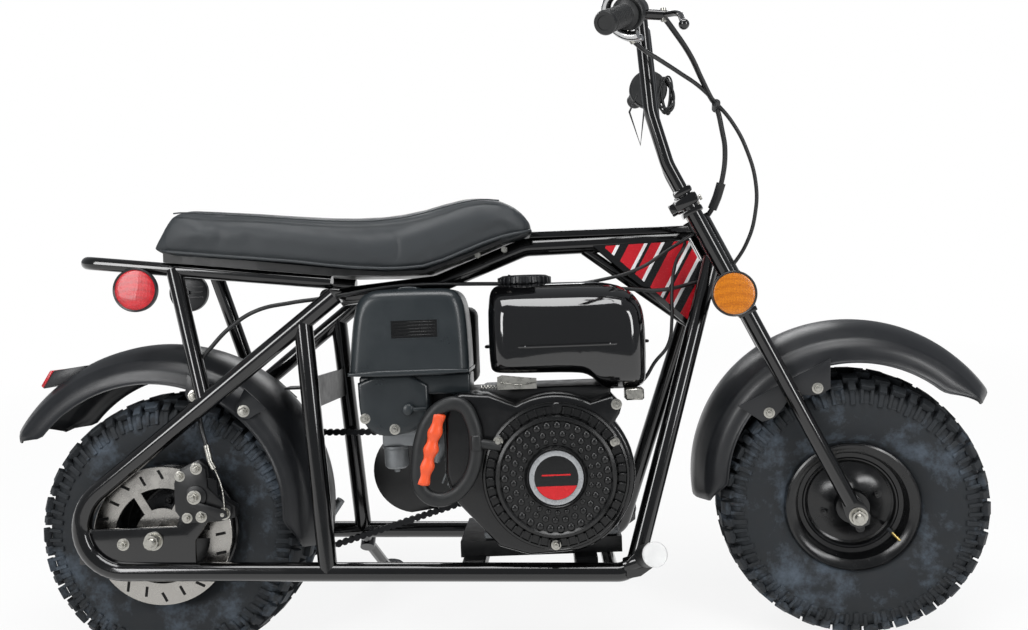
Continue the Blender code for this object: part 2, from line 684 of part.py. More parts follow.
def steering_stem(parent, material):
    """The steerer that turns in the head."""
    low = STEER_AXIS * (LOWER_CROWN + CROWN_THICKNESS + FIT_GAP)
    high = STEER_AXIS * (UPPER_CROWN - FIT_GAP)
    return rod("steering_stem", low, high, STEM_RADIUS, parent, material, 16)


def bar_corners(side):
    """Corners of one half of the handlebar, from the leg's top to the grip's end."""
    base = STEER_AXIS * (LEG_TOP + FIT_GAP) + Vector((0, LEG_HALF_SPACING * side, 0))
    return (base, base + STEER_AXIS * 0.022,
            steered(BAR_LOW[0], LEG_HALF_SPACING * side, BAR_LOW[1]),
            steered(BAR_MIDDLE[0], LEG_HALF_SPACING * side, BAR_MIDDLE[1]),
            steered(BAR_HIGH[0], LEG_HALF_SPACING * side, BAR_HIGH[1]),
            steered(GRIP_END[0], GRIP_END[1] * side, GRIP_END[2]))


def handlebar(name, side, parent, material):
    """One high handlebar tube, from the fork leg's top to its grip."""
    corners = bar_corners(side)
    outward = (corners[-1] - corners[-2]).normalized()
    end = corners[-1] - outward * 0.004
    path = bent((*corners[:-1], end), (0.04, 0.10, 0.10, BAR_BEND), steps=4)
    return tube(name, path, BAR_RADIUS, parent, material, sides=2)


def grip(name, side, parent, material):
    """A rubber grip over the bar's end."""
    corners = bar_corners(side)
    outward = (corners[-1] - corners[-2]).normalized()
    start = corners[-1] - outward * GRIP_LENGTH
    bore = BAR_RADIUS + FIT_GAP
    end = GRIP_LENGTH - 0.0035
    profile = ((0, GRIP_LENGTH), (GRIP_RADIUS, GRIP_LENGTH), (GRIP_RADIUS + 0.001, GRIP_LENGTH - 0.006),
               (GRIP_RADIUS, GRIP_LENGTH - 0.012), (GRIP_RADIUS, 0.008), (GRIP_RADIUS + 0.005, 0.004),
               (GRIP_RADIUS + 0.005, 0.0), (bore, 0.0), (bore, end), (0, end))
    return turned(name, profile, parent, material, 14, start, outward)


LEVER_DROP = Vector((0.058, 0.0, -0.045))


def lever(name, side, inward, parent, material):
    """A hand lever on its clamp: clamp ring, perch and blade in one piece."""
    corners = bar_corners(side)
    outward = (corners[-1] - corners[-2]).normalized()
    middle = corners[-1] - outward * (GRIP_LENGTH + inward)
    forward = Vector((0.94, 0.0, 0.34)).normalized()
    ring = solid_copy(rod_curve(name, middle - outward * 0.010, middle + outward * 0.010,
                                BAR_RADIUS + 0.006, parent))
    pivot = middle + forward * 0.040
    perch = solid_copy(tube("perch", (middle + forward * 0.010, pivot + forward * 0.006), 0.007,
                            parent, material, sides=2))
    tip = pivot + outward * 0.150 + LEVER_DROP
    bend = pivot + outward * 0.060 + forward * 0.030
    blade = solid_copy(tube("blade", bent((pivot, bend, tip), (0.06,), steps=3), 0.0045,
                            parent, material, sides=2))
    bore = solid_copy(rod_curve("bore", middle - outward * 0.03, middle + outward * 0.03,
                                BAR_RADIUS + 3 * FIT_GAP, parent))
    ring.data.materials.append(material)
    combine(ring, (perch, blade))
    combine(ring, (bore,), "DIFFERENCE")
    return round_off(ring)


def disc_lamp(name, place, side, parent, material, lens):
    """A round reflector standing on edge, its lens outwards."""
    radius, width = REFLECTOR_RADIUS, REFLECTOR_THICKNESS
    profile = ((0, width), (radius - 0.004, width), (radius, width - 0.003), (radius, 0), (0, 0))
    made = turned(name, profile, parent, material, 20, place, (0, side, 0))
    made.data.materials.append(lens)
    return made


# Seat

SEAT_SECTIONS = (
    # x, bottom and top above the axles, half width
    (-0.006, 0.4960, 0.5090, 0.104),
    (0.014, 0.4935, 0.5470, 0.124),
    (0.050, 0.4860, 0.5630, 0.130),
    (0.180, 0.4720, 0.5520, 0.132),
    (0.310, 0.4550, 0.5380, 0.130),
    (0.400, 0.4460, 0.5330, 0.124),
    (0.470, 0.4470, 0.5490, 0.116),
    (0.540, 0.4715, 0.5670, 0.108),
    (0.605, 0.4965, 0.5675, 0.100),
    (0.645, 0.5060, 0.5470, 0.088),
    (0.660, 0.5110, 0.5250, 0.070),
)


def seat_loft(name, low_drop, high_share, inset, parent, material):
    """The seat's form, or a slice of it: a loft between rounded sections."""
    shape = bmesh.new()
    rings = []
    for x, bottom, top, half in SEAT_SECTIONS:
        half -= inset
        bottom, top = bottom + TYRE_RADIUS, top + TYRE_RADIUS
        height = (top - bottom) * high_share
        ring = []
        for across, up in ((-0.88, 0.0), (-1.0, 0.22), (-0.97, 0.70), (-0.74, 0.95), (0.0, 1.0),
                           (0.74, 0.95), (0.97, 0.70), (1.0, 0.22), (0.88, 0.0)):
            ring.append(shape.verts.new((x, half * across, bottom - low_drop + height * up)))
        rings.append(ring)
    for ring, after in zip(rings, rings[1:]):
        for i in range(len(ring)):
            j = (i + 1) % len(ring)
            shape.faces.new((ring[i], ring[j], after[j], after[i]))
    shape.faces.new(rings[0])
    shape.faces.new(rings[-1])
    bmesh.ops.recalc_face_normals(shape, faces=shape.faces)
    return mesh_piece(name, shape, parent, material)


def seat_pan(parent, material):
    """The pan that carries the cushion, deep enough at the rear to rest on the rack."""
    shape = bmesh.new()
    rings = []
    for x, bottom, _, half in SEAT_SECTIONS[1:-2]:
        high = bottom + TYRE_RADIUS - WELD_GAP
        low = high - SEAT_PAN_THICKNESS
        if x < RACK_FRONT[0] + 0.01:
            low = rack_height(x) + RACK_RADIUS + FIT_GAP
        half -= 0.020
        rings.append([shape.verts.new((x, y, z)) for y, z in ((-half, low), (half, low), (half, high), (-half, high))])
    for ring, after in zip(rings, rings[1:]):
        for i in range(4):
            j = (i + 1) % 4
            shape.faces.new((ring[i], ring[j], after[j], after[i]))
    shape.faces.new(rings[0])
    shape.faces.new(rings[-1])
    bmesh.ops.recalc_face_normals(shape, faces=shape.faces)
    return mesh_piece("seat_pan", shape, parent, material)


# Drive

def chain_path():
    """Closed middle line of the chain round both sprockets: (x, z)."""
    rear = (AXLE.x, AXLE.z)
    front = SHAFT
    distance = hypot(front[0] - rear[0], front[1] - rear[1])
    tilt = atan2(front[1] - rear[1], front[0] - rear[0])
    spread = asin((REAR_SPROCKET_RADIUS - FRONT_SPROCKET_RADIUS) / distance)
    up = tilt + pi / 2 - spread
    down = tilt - pi / 2 + spread
    around_rear = arc(rear, REAR_SPROCKET_RADIUS, up, down + 2 * pi, 22)
    around_front = arc(front, FRONT_SPROCKET_RADIUS, down, up, 8)
    return around_rear + around_front


def chain(parent, material):
    """The roller chain as one closed loop of its true width and height."""
    path = chain_path()
    shape = bmesh.new()
    rings = []
    count = len(path)
    for i, (x, z) in enumerate(path):
        before, after = path[i - 1], path[(i + 1) % count]
        along = Vector((after[0] - before[0], 0, after[1] - before[1])).normalized()
        out = Vector((-along.z, 0, along.x))
        middle = Vector((x, CHAIN_PLANE, z))
        ring = []
        for across, up in ((-1, -1), (1, -1), (1, 1), (-1, 1)):
            ring.append(shape.verts.new(middle + Vector((0, across * CHAIN_WIDTH / 2, 0))
                                        + out * (up * CHAIN_HEIGHT / 2)))
        rings.append(ring)
    for ring, after in zip(rings, rings[1:] + rings[:1]):
        for i in range(4):
            j = (i + 1) % 4
            shape.faces.new((ring[i], ring[j], after[j], after[i]))
    bmesh.ops.recalc_face_normals(shape, faces=shape.faces)
    return mesh_piece("chain", shape, parent, material)


def sprocket(parent, material):
    """The large driven sprocket, bolted to the hub."""
    outer = REAR_SPROCKET_RADIUS - CHAIN_HEIGHT / 2 - 0.0012
    half = SPROCKET_WIDTH / 2
    inner = HUB_HALF_LENGTH - 0.010
    bore = HUB_RADIUS + FIT_GAP
    profile = ((0.045, CHAIN_PLANE + half), (outer, CHAIN_PLANE + half), (outer, CHAIN_PLANE - half),
               (0.045, CHAIN_PLANE - half), (0.045, inner), (bore, inner), (bore, CHAIN_PLANE - half - 0.008),
               (AXLE_RADIUS + 0.006, CHAIN_PLANE - half - 0.008), (AXLE_RADIUS + 0.006, CHAIN_PLANE + half))
    return turned("rear_sprocket", profile, parent, material, 28, ring=True)


def brake_disc(parent, material):
    """The brake disc on its carrier, bolted to the hub."""
    half = DISC_WIDTH / 2
    inner = HUB_HALF_LENGTH - 0.010
    bore = HUB_RADIUS + FIT_GAP
    profile = ((AXLE_RADIUS + 0.006, DISC_PLANE + half + 0.036), (bore, DISC_PLANE + half + 0.036),
               (bore, -inner), (0.045, -inner), (0.045, DISC_PLANE + half), (DISC_RADIUS, DISC_PLANE + half),
               (DISC_RADIUS, DISC_PLANE - half), (AXLE_RADIUS + 0.006, DISC_PLANE - half))
    return turned("brake_disc", profile, parent, material, 28, ring=True)


def chain_guard(parent, material):
    """The flat guard outside the chain, round the drive sprocket."""
    outline = arc(GUARD_REAR, GUARD_REAR_RADIUS, radians(96), radians(262), 10)
    outline += arc(SHAFT, GUARD_FRONT_RADIUS, radians(-80), radians(88), 12)
    return plate("chain_guard", outline, GUARD_PLANE, GUARD_PLANE + GUARD_THICKNESS, parent, material)


def brake_caliper(parent, material):
    """The caliper's outer half, bolted to the axle plate's tab beside the disc."""
    near = DISC_PLANE - DISC_WIDTH / 2 - CALIPER_CLEARANCE
    far = -FRAME_HALF_WIDTH + AXLE_PLATE / 2 + FIT_GAP
    return block("brake_caliper", (CALIPER_LOW[0], far, CALIPER_LOW[1]), (CALIPER_HIGH[0], near, CALIPER_HIGH[1]),
                 parent, material, 0.006)


def pull_handle(parent, material):
    """The starter's big D handle, resting beside the recoil cover."""
    half_x, half_z = HANDLE_SIZE[0] / 2, HANDLE_SIZE[1] / 2
    y = SHROUD_FACE - HANDLE_RADIUS - FIT_GAP
    x, z = HANDLE_CENTRE
    corners = [(x - half_x, y, z - half_z), (x - half_x * 0.2, y, z - half_z), (x + half_x, y, z - half_z * 0.45),
               (x + half_x, y, z + half_z * 0.55), (x + half_x * 0.1, y, z + half_z), (x - half_x * 0.6, y, z + half_z),
               (x - half_x, y, z - half_z)]
    loop = bent([(Vector(corners[0]) + Vector(corners[-2])) / 2, *corners[:-1],
                 (Vector(corners[0]) + Vector(corners[-2])) / 2], (0.022, 0.03, 0.03, 0.03, 0.03, 0.022), steps=3)
    start = loop.pop()
    ring = tube("pull_handle", loop, HANDLE_RADIUS, parent, material, sides=2)
    ring.data.splines[0].use_cyclic_u = True
    ring.data.use_fill_caps = False
    return ring


def tail_lamp(parent, material):
    """The wedge-shaped tail lamp on the rear fender's crown."""
    x, z = REAR_FENDER_CENTRE
    seat = REAR_FENDER_CROWN + WELD_GAP
    outline = arc(REAR_FENDER_CENTRE, seat, LAMP_SPAN[0], LAMP_SPAN[1], 6)
    outline += [(x + (seat + rise) * cos(angle), z + (seat + rise) * sin(angle)) for angle, rise in LAMP_RISE]
    return plate("tail_lamp", outline, -LAMP_HALF_WIDTH, LAMP_HALF_WIDTH, parent, material)


def switch_housing(parent, material):
    """The stop switch: a clamp round the left bar beside the grip, with its button box."""
    corners = bar_corners(1)
    outward = (corners[-1] - corners[-2]).normalized()
    middle = corners[-1] - outward * (GRIP_LENGTH + SWITCH_LENGTH / 2 + FIT_GAP)
    ring = solid_copy(rod_curve("switch_housing", middle - outward * SWITCH_LENGTH / 2,
                                middle + outward * SWITCH_LENGTH / 2, SWITCH_RADIUS, parent))
    box = solid_copy(tube("box", (middle, middle + Vector((SWITCH_RADIUS + 0.012, 0.0, 0.0))), SWITCH_LENGTH * 0.45,
                          parent, material, sides=3))
    bore = solid_copy(rod_curve("bore", middle - outward * SWITCH_LENGTH, middle + outward * SWITCH_LENGTH,
                                BAR_RADIUS + 3 * FIT_GAP, parent))
    ring.data.materials.append(material)
    combine(ring, (box,))
    combine(ring, (bore,), "DIFFERENCE")
    return round_off(ring)


def tyre_contact(normal_y):
    """Lowest reach of a tyre below its centre when its axle points down by the given sine."""
    reach = 0.0
    for step in range(-60, 61):
        y = TREAD_BANDS[-1][0] * step / 60
        radius = TYRE_RADIUS - tread_drop(y)
        reach = max(reach, radius * sqrt(1 - normal_y ** 2) - y * normal_y)
    return reach


# Scene, carriers and materials

for old in list(bpy.data.objects):
    bpy.data.objects.remove(old)

parts = bpy.data.collections.new("minibike")
bpy.context.scene.collection.children.link(parts)

BLACK_PAINT = finish("black_paint", "101113", 0.22)
BLACK_PLASTIC = finish("black_plastic", "1b1c1e", 0.45)
TANK_PAINT = finish("tank_paint", "0b0b0c", 0.12)
TYRE_RUBBER = finish("tyre_rubber", "26292c", 0.80)
GRIP_RUBBER = finish("grip_rubber", "1c1d1e", 0.70)
VINYL = finish("seat_vinyl", "33373b", 0.55)
ZINC = finish("zinc_steel", "a9abad", 0.35, 1.0)
STAINLESS = finish("disc_steel", "b9bbbc", 0.30, 1.0)
CHROME = finish("chrome", "d5d7d9", 0.12, 1.0)
CASTING = finish("cast_alloy", "46484a", 0.50, 0.6)
CHAIN_STEEL = finish("chain_steel", "4a4742", 0.45, 0.9)
RED_LENS = finish("red_lens", "c4101c", 0.15)
AMBER_LENS = finish("amber_lens", "d98a17", 0.15)
ORANGE = finish("orange_grip", "e2551f", 0.40)

bike = empty("bike", (0, 0, 0))
steering = empty("steering_axis", FRONT_AXLE, bike)
front_spin = empty("front_wheel_axis", (0, 0, 0), steering)
rear_spin = empty("rear_wheel_axis", AXLE, bike)

# Frame
for side, label in ((-1, "right"), (1, "left")):
    frame_side("frame_side_" + label, side, bike, BLACK_PAINT)
backbone(bike, BLACK_PAINT)
head_tube(bike, BLACK_PAINT)
rail_gap = FRAME_HALF_WIDTH - TUBE_RADIUS - FIT_GAP
deck = block("engine_deck", (DECK_X[0], ENGINE_RIGHT + 0.003, DECK_LOW),
             (DECK_X[1], DECK_LEFT, ENGINE_BASE - FIT_GAP), bike, BLACK_PAINT)
beams = []
for x in BEAM_X:
    z = rail_height(x)
    beams.append(block("deck_beam", (x - 0.020, -rail_gap, z - 0.014), (x + 0.020, rail_gap, DECK_LOW + 0.003),
                       bike, BLACK_PAINT, 0.003, 1))
round_off(combine(deck, beams))
peg_tube_x = RAIL_FRONT_CORNER[0] - PEG_TUBE_BACK
rod("peg_cross_tube", (peg_tube_x, -rail_gap, rail_height(peg_tube_x)), (peg_tube_x, rail_gap, rail_height(peg_tube_x)),
    SEAT_CROSS_RADIUS, bike, BLACK_PAINT, 14)
cross = block("cross_plate", (CROSS_PLATE_X, -CROSS_PLATE_HALF, CROSS_PLATE_Z[0]),
              (CROSS_PLATE_X + 0.006, CROSS_PLATE_HALF, CROSS_PLATE_Z[1]), bike, BLACK_PAINT)
tongue = block("tongue", (FENDER_TONGUE[0], -0.020, FENDER_TONGUE[1]),
               (CROSS_PLATE_X + 0.003, 0.020, FENDER_TONGUE[1] + 0.004), bike, BLACK_PAINT)
round_off(combine(cross, (tongue,)))
rack_corners = [(RACK_FRONT[0], -RACK_HALF_WIDTH, RACK_FRONT[1]), (RACK_REAR[0], -RACK_HALF_WIDTH, RACK_REAR[1]),
                (RACK_REAR[0], RACK_HALF_WIDTH, RACK_REAR[1]), (RACK_FRONT[0], RACK_HALF_WIDTH, RACK_FRONT[1])]
rack = solid_copy(tube("rack", bent(rack_corners, (RACK_BEND, RACK_BEND), steps=4), RACK_RADIUS, bike,
                       BLACK_PAINT, sides=3))
struts = []
for side in (-1, 1):
    top = Vector((STRUT_TOP_X, RACK_HALF_WIDTH * side, rack_height(STRUT_TOP_X)))
    foot = Vector((STRUT_FOOT_X, diagonal_half_width(STRUT_FOOT_X) * side, diagonal_height(STRUT_FOOT_X)))
    slope = (foot - top).normalized()
    struts.append(solid_copy(rod("strut", top, foot - slope * (TUBE_RADIUS / cos(radians(30)) + 0.009),
                                 STRUT_RADIUS, bike, BLACK_PAINT, 14)))
    near, far = [Vector((x, y * side, z)) for x, y, z in (FENDER_STAY, FENDER_STAY_END)]
    struts.append(solid_copy(rod("stay", near, far, STAY_RADIUS, bike, BLACK_PAINT, 10)))
round_off(combine(rack, struts))
for side, label in ((-1, "right"), (1, "left")):
    peg = solid_copy(rod("foot_peg_" + label, (PEG_INNER[0], PEG_INNER[1] * side, PEG_INNER[2]),
                         (PEG_OUTER[0], PEG_OUTER[1] * side, PEG_OUTER[2]), PEG_RADIUS, bike, CHROME, 20))
    ends = sorted((side * (FRAME_HALF_WIDTH + TUBE_RADIUS + WELD_GAP), side * (PEG_INNER[1] + 0.006)))
    saddle = block("saddle", (PEG_INNER[0] - PEG_SADDLE_BACK, ends[0], PEG_INNER[2] - 0.044), (PEG_INNER[0] + 0.018, ends[1], PEG_INNER[2] + 0.016),
                   bike, BLACK_PAINT)
    round_off(combine(peg, (saddle,)))

# Seat
seat_loft("seat_cushion", 0.0, 1.0, 0.0, bike, VINYL)
seat_pan(bike, BLACK_PLASTIC)

# Rear fender, lamp and reflectors
fender("rear_fender", bike, BLACK_PLASTIC, REAR_FENDER_CENTRE, REAR_FENDER_CROWN,
       REAR_FENDER_REAR, REAR_FENDER_FRONT, 18)
tail_lamp(bike, RED_LENS)
for side, label in ((-1, "right"), (1, "left")):
    place = (RED_REFLECTOR[0], (RACK_HALF_WIDTH + RACK_RADIUS + FIT_GAP) * side, RED_REFLECTOR[1])
    disc_lamp("rear_reflector_" + label, place, side, bike, BLACK_PLASTIC, RED_LENS)

# Engine
block("engine_block", (ENGINE_REAR, ENGINE_RIGHT, ENGINE_BASE), (ENGINE_FRONT, ENGINE_LEFT, ENGINE_TOP),
      bike, CASTING, 0.020)
around = [(x - SHAFT[0], z - SHAFT[1]) for x, z in arc(SHAFT, SHROUD_RADIUS, radians(118), radians(62), 8)]
around += list(EAR) + [(x - SHAFT[0], z - SHAFT[1]) for x, z in arc(SHAFT, SHROUD_RADIUS - 0.0025, radians(40), radians(-75), 16)]
plate("engine_shroud", [(SHAFT[0] + x, SHAFT[1] + z) for x, z in list(VOLUTE) + around + list(VOLUTE_FOOT)],
      SHROUD_FACE, ENGINE_RIGHT - FIT_GAP, bike, BLACK_PLASTIC)
turned("recoil_cover", ((0, SHROUD_FACE - FIT_GAP), (RECOIL_RADIUS, SHROUD_FACE - FIT_GAP),
                        (RECOIL_RADIUS, SHROUD_FACE - 0.010), (RECOIL_RADIUS - 0.020, SHROUD_FACE - 0.0145),
                        (RECOIL_RADIUS - 0.027, RECOIL_FACE + 0.006), (0.053, RECOIL_FACE + 0.009),
                        (0.0485, RECOIL_FACE), (0, RECOIL_FACE)),
       bike, BLACK_PLASTIC, 32, (SHAFT[0], 0, SHAFT[1]))
block("fuel_tank", TANK_LOW, TANK_HIGH, bike, TANK_PAINT, 0.028, 3)
turned("fuel_cap", ((0, 0.018), (CAP_RADIUS - 0.003, 0.018), (CAP_RADIUS, 0.014), (CAP_RADIUS, 0), (0, 0)),
       bike, BLACK_PLASTIC, 28, (CAP_CENTRE[0], CAP_CENTRE[1], TANK_HIGH[2] + FIT_GAP), (0, 0, 1))
block("air_cleaner", AIR_CLEANER_LOW, AIR_CLEANER_HIGH, bike, BLACK_PLASTIC, 0.018, 2)
block("carburettor", CARBURETTOR_LOW, (ENGINE_REAR - FIT_GAP, -0.030, AIR_CLEANER_LOW[2] - FIT_GAP), bike,
      CASTING, 0.006, 1)
block("muffler", MUFFLER_LOW, MUFFLER_HIGH, bike, BLACK_PAINT, 0.016, 2)

pull_handle(bike, GRIP_RUBBER)

# Drive
chain_guard(bike, BLACK_PLASTIC)
brake_caliper(bike, CASTING)
turned("clutch", ((0, ENGINE_LEFT + 0.036), (0.050, ENGINE_LEFT + 0.036), (CLUTCH_RADIUS - 0.030, ENGINE_LEFT + 0.035),
                  (CLUTCH_RADIUS - 0.030, ENGINE_LEFT + FIT_GAP), (0, ENGINE_LEFT + FIT_GAP)),
       bike, CHAIN_STEEL, 28, (SHAFT[0], 0, SHAFT[1]))
chain(bike, CHAIN_STEEL)

# Rear wheel
tyre("rear_tyre", rear_spin, TYRE_RUBBER)
rim("rear_rim", rear_spin, BLACK_PAINT, -1)
sprocket(rear_spin, CHAIN_STEEL)
brake_disc(rear_spin, STAINLESS)
rear_axle = axle("rear_axle", bike, ZINC, FRAME_HALF_WIDTH - AXLE_PLATE / 2, FRAME_HALF_WIDTH + AXLE_PLATE / 2)
rear_axle.location = AXLE

# Steering
for side, label in ((-1, "right"), (1, "left")):
    fork_leg("fork_leg_" + label, side, steering, BLACK_PAINT)
    handlebar("handlebar_" + label, side, steering, BLACK_PAINT)
    grip("grip_" + label, side, steering, GRIP_RUBBER)
    place = steered(AMBER_REFLECTOR[0], (LEG_HALF_SPACING + LEG_RADIUS + 0.0047) * side, AMBER_REFLECTOR[1])
    disc_lamp("front_reflector_" + label, place, side, steering, BLACK_PLASTIC, AMBER_LENS)
lever("lever_right", -1, 0.030, steering, CHROME)
crown_plate("lower_crown", LOWER_CROWN, steering, BLACK_PAINT)
crown_plate("upper_crown", UPPER_CROWN, steering, BLACK_PAINT)
steering_stem(steering, ZINC)
switch_housing(steering, BLACK_PLASTIC)
axle("front_axle", steering, ZINC, LEG_HALF_SPACING - DROPOUT_WIDTH / 2, LEG_HALF_SPACING + DROPOUT_WIDTH / 2)
fender("front_fender", steering, BLACK_PLASTIC, FRONT_FENDER_CENTRE, FRONT_FENDER_CROWN, FRONT_FENDER_REAR,
       FRONT_FENDER_FRONT, 16)

# Front wheel
tyre("front_tyre", front_spin, TYRE_RUBBER)
rim("front_rim", front_spin, BLACK_PAINT, -1)

# Parking pose: the steering turned, the bike leaned and pitched until both tyres touch the floor
steering.rotation_mode = "QUATERNION"
steering.rotation_quaternion = Quaternion(STEER_AXIS, -STEERED_RIGHT)
front_axle_line = Quaternion(STEER_AXIS, -STEERED_RIGHT) @ Vector((0, 1, 0))
pitch = 0.0
for attempt in range(4):
    pose = Quaternion((0, 1, 0), pitch) @ Quaternion((1, 0, 0), -LEAN)
    rear_low = (pose @ AXLE).z - tyre_contact((pose @ Vector((0, 1, 0))).z)
    front_low = (pose @ FRONT_AXLE).z - tyre_contact((pose @ front_axle_line).z)
    pitch += (front_low - rear_low) / WHEELBASE
bike.rotation_mode = "QUATERNION"
bike.rotation_quaternion = pose

# Side stand: its pad lies flat on the floor that the tyres touch
up = pose.inverted() @ Vector((0, 0, 1))
floor_point = up * rear_low
pad_z = (floor_point.dot(up) - STAND_FOOT[0] * up.x - STAND_FOOT[1] * up.y) / up.z
pad_place = Vector((STAND_FOOT[0], STAND_FOOT[1], pad_z))
stand_leg = pad_place - Vector(STAND_PIVOT)
stand_axis = stand_leg.cross(Vector((-1, 0, 0))).normalized()
stand = empty("side_stand_axis", STAND_PIVOT, bike)
leg_low = stand_leg + up * (PAD_THICKNESS + 0.004)
pad = turned("side_stand", ((0, PAD_THICKNESS), (PAD_RADIUS - 0.004, PAD_THICKNESS), (PAD_RADIUS, PAD_THICKNESS - 0.004),
                            (PAD_RADIUS, 0), (0, 0)), stand, ZINC, 24, stand_leg, up)
pad = solid_copy(pad)
leg = solid_copy(tube("leg", (stand_axis * 0.0, leg_low - up * 0.012), STAND_RADIUS, stand, BLACK_PAINT, sides=3))
eye = solid_copy(tube("eye", (stand_axis * -0.012, stand_axis * 0.012), STAND_RADIUS + 0.004, stand, BLACK_PAINT,
                      sides=8))
combine(pad, (leg, eye))
round_off(pad)

# The middle of the box over the origin, the lowest point on the floor
bpy.context.view_layer.update()
graph = bpy.context.evaluated_depsgraph_get()
low = Vector((1e9, 1e9, 1e9))
high = -low
for piece in parts.objects:
    if piece.type in {"MESH", "CURVE"}:
        seen = piece.evaluated_get(graph)
        shown = seen.to_mesh()
        for vertex in shown.vertices:
            place = seen.matrix_world @ vertex.co
            low = Vector(map(min, low, place))
            high = Vector(map(max, high, place))
        seen.to_mesh_clear()
bike.location = (-(low.x + high.x) / 2, -(low.y + high.y) / 2, -low.z)
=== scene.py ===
# Looks of a parked minibike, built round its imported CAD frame: black steel tubes, knobbly tyres,
# a small pull-start engine, moulded fenders and a vinyl seat. Metres, +Z up, +X forward.

import json
import math
from math import cos, pi, radians, sin

import bmesh
import bpy
from mathutils import Matrix, Quaternion, Vector


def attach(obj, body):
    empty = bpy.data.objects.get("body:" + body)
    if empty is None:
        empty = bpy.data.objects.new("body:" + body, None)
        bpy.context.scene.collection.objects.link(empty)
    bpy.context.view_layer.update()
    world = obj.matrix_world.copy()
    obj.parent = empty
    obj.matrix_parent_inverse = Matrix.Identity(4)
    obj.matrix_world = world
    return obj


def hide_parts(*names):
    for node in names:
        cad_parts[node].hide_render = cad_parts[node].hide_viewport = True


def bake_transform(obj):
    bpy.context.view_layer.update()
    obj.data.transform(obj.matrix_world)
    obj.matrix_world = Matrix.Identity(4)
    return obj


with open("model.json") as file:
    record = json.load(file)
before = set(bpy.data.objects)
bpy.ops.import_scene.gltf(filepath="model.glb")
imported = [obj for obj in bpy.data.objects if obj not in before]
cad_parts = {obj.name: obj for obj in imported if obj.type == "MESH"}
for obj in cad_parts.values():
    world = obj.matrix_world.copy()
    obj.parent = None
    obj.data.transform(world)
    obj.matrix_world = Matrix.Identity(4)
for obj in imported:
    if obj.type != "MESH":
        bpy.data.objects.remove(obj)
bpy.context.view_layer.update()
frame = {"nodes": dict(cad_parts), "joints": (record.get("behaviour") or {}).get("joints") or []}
NODES = frame["nodes"]
MM = 0.001


# The bike's own axes
# The parked bike leans on its stand, so its pieces are built upright, with the rear axle at
# X = 0, and laid onto the axes that the wheels' and the steering's joints give.

WHEEL_RADIUS = 0.241
JOINTS = {joint["name"]: joint for joint in frame["joints"]}
REAR_HUB = Vector(JOINTS["rear_wheel_spin"]["pos_m"])
FRONT_HUB = Vector(JOINTS["front_wheel_spin"]["pos_m"])
ACROSS = Vector(JOINTS["rear_wheel_spin"]["axis"]).normalized()
AHEAD = (FRONT_HUB - REAR_HUB).normalized()
UPWARD = AHEAD.cross(ACROSS)
leaning = Matrix((AHEAD, ACROSS, UPWARD)).transposed()
BIKE = Matrix.Translation(REAR_HUB - UPWARD * WHEEL_RADIUS) @ leaning.to_4x4()

# The fork is turned to the right: its pieces are measured from the front hub, wheel straight.
HEAD_AXIS = Vector(JOINTS["steering"]["axis"]).normalized()
FRONT_ACROSS = Vector(JOINTS["front_wheel_spin"]["axis"]).normalized()
RAKE = HEAD_AXIS.angle(UPWARD)
straight = Matrix((Vector((cos(RAKE), 0, sin(RAKE))), Vector((0, 1, 0)),
                   Vector((-sin(RAKE), 0, cos(RAKE)))))
turned_right = Matrix((FRONT_ACROSS.cross(HEAD_AXIS), FRONT_ACROSS, HEAD_AXIS)).transposed()
FORK = Matrix.Translation(FRONT_HUB) @ (turned_right @ straight).to_4x4()
STEER = Vector((-sin(RAKE), 0, cos(RAKE)))
STEER_AHEAD = Vector((cos(RAKE), 0, sin(RAKE)))


# Camera
# A level view of the bike's right side, as in the photograph, with the lens shifted a little.

PHOTO_SIZE = (1028, 630)
VIEW_CENTRE = (547.7, 308.4)
FOCAL_PIXELS = 878.0
CAMERA_PLACE = (0.684, -1.6416, 0.6117)
CAMERA_ROLL = 0.037

camera_data = bpy.data.cameras.new("camera")
camera_data.sensor_width = 36.0
camera_data.lens = FOCAL_PIXELS / PHOTO_SIZE[0] * camera_data.sensor_width
camera_data.shift_x = (PHOTO_SIZE[0] / 2 - VIEW_CENTRE[0]) / PHOTO_SIZE[0]
camera_data.shift_y = (VIEW_CENTRE[1] - PHOTO_SIZE[1] / 2) / PHOTO_SIZE[0]
camera_data.clip_start = 0.05
camera = bpy.data.objects.new("camera", camera_data)
bpy.context.scene.collection.objects.link(camera)
QUARTER = Matrix.Rotation(pi / 2, 4, "X")
aimed = Matrix.Rotation(CAMERA_ROLL, 4, "Y") @ QUARTER
camera.matrix_world = BIKE @ Matrix.Translation(CAMERA_PLACE) @ aimed
bpy.context.scene.camera = camera


# Studio
# A white paper floor that runs out of sight, and softboxes: a long one above, one at each side
# of the camera, which draw the bright lines along the black tubes, and a broad one behind.

def linear(code):
    """Linear colour of an sRGB hex code."""
    channels = [int(code[i:i + 2], 16) / 255 for i in (0, 2, 4)]
    return (*[c / 12.92 if c <= 0.04045 else ((c + 0.055) / 1.055) ** 2.4 for c in channels], 1.0)


def node(tree, kind, settings=None, **links):
    """Adds a node: settings go on its sockets or, where it has no such socket, on the node itself."""
    made = tree.nodes.new("ShaderNode" + kind)
    for key, value in (settings or {}).items():
        if isinstance(key, int) or key in made.inputs:
            made.inputs[key].default_value = value
        else:
            setattr(made, key, value)
    for key, source in links.items():
        socket = int(key[1:]) if key[0] == "i" and key[1:].isdigit() else key.replace("_", " ")
        tree.links.new(source, made.inputs[socket])
    return made


def new_material(name):
    """A node material: returns it with its tree and its Principled shader."""
    made = bpy.data.materials.new(name)
    made.use_nodes = True
    return made, made.node_tree, made.node_tree.nodes["Principled BSDF"]


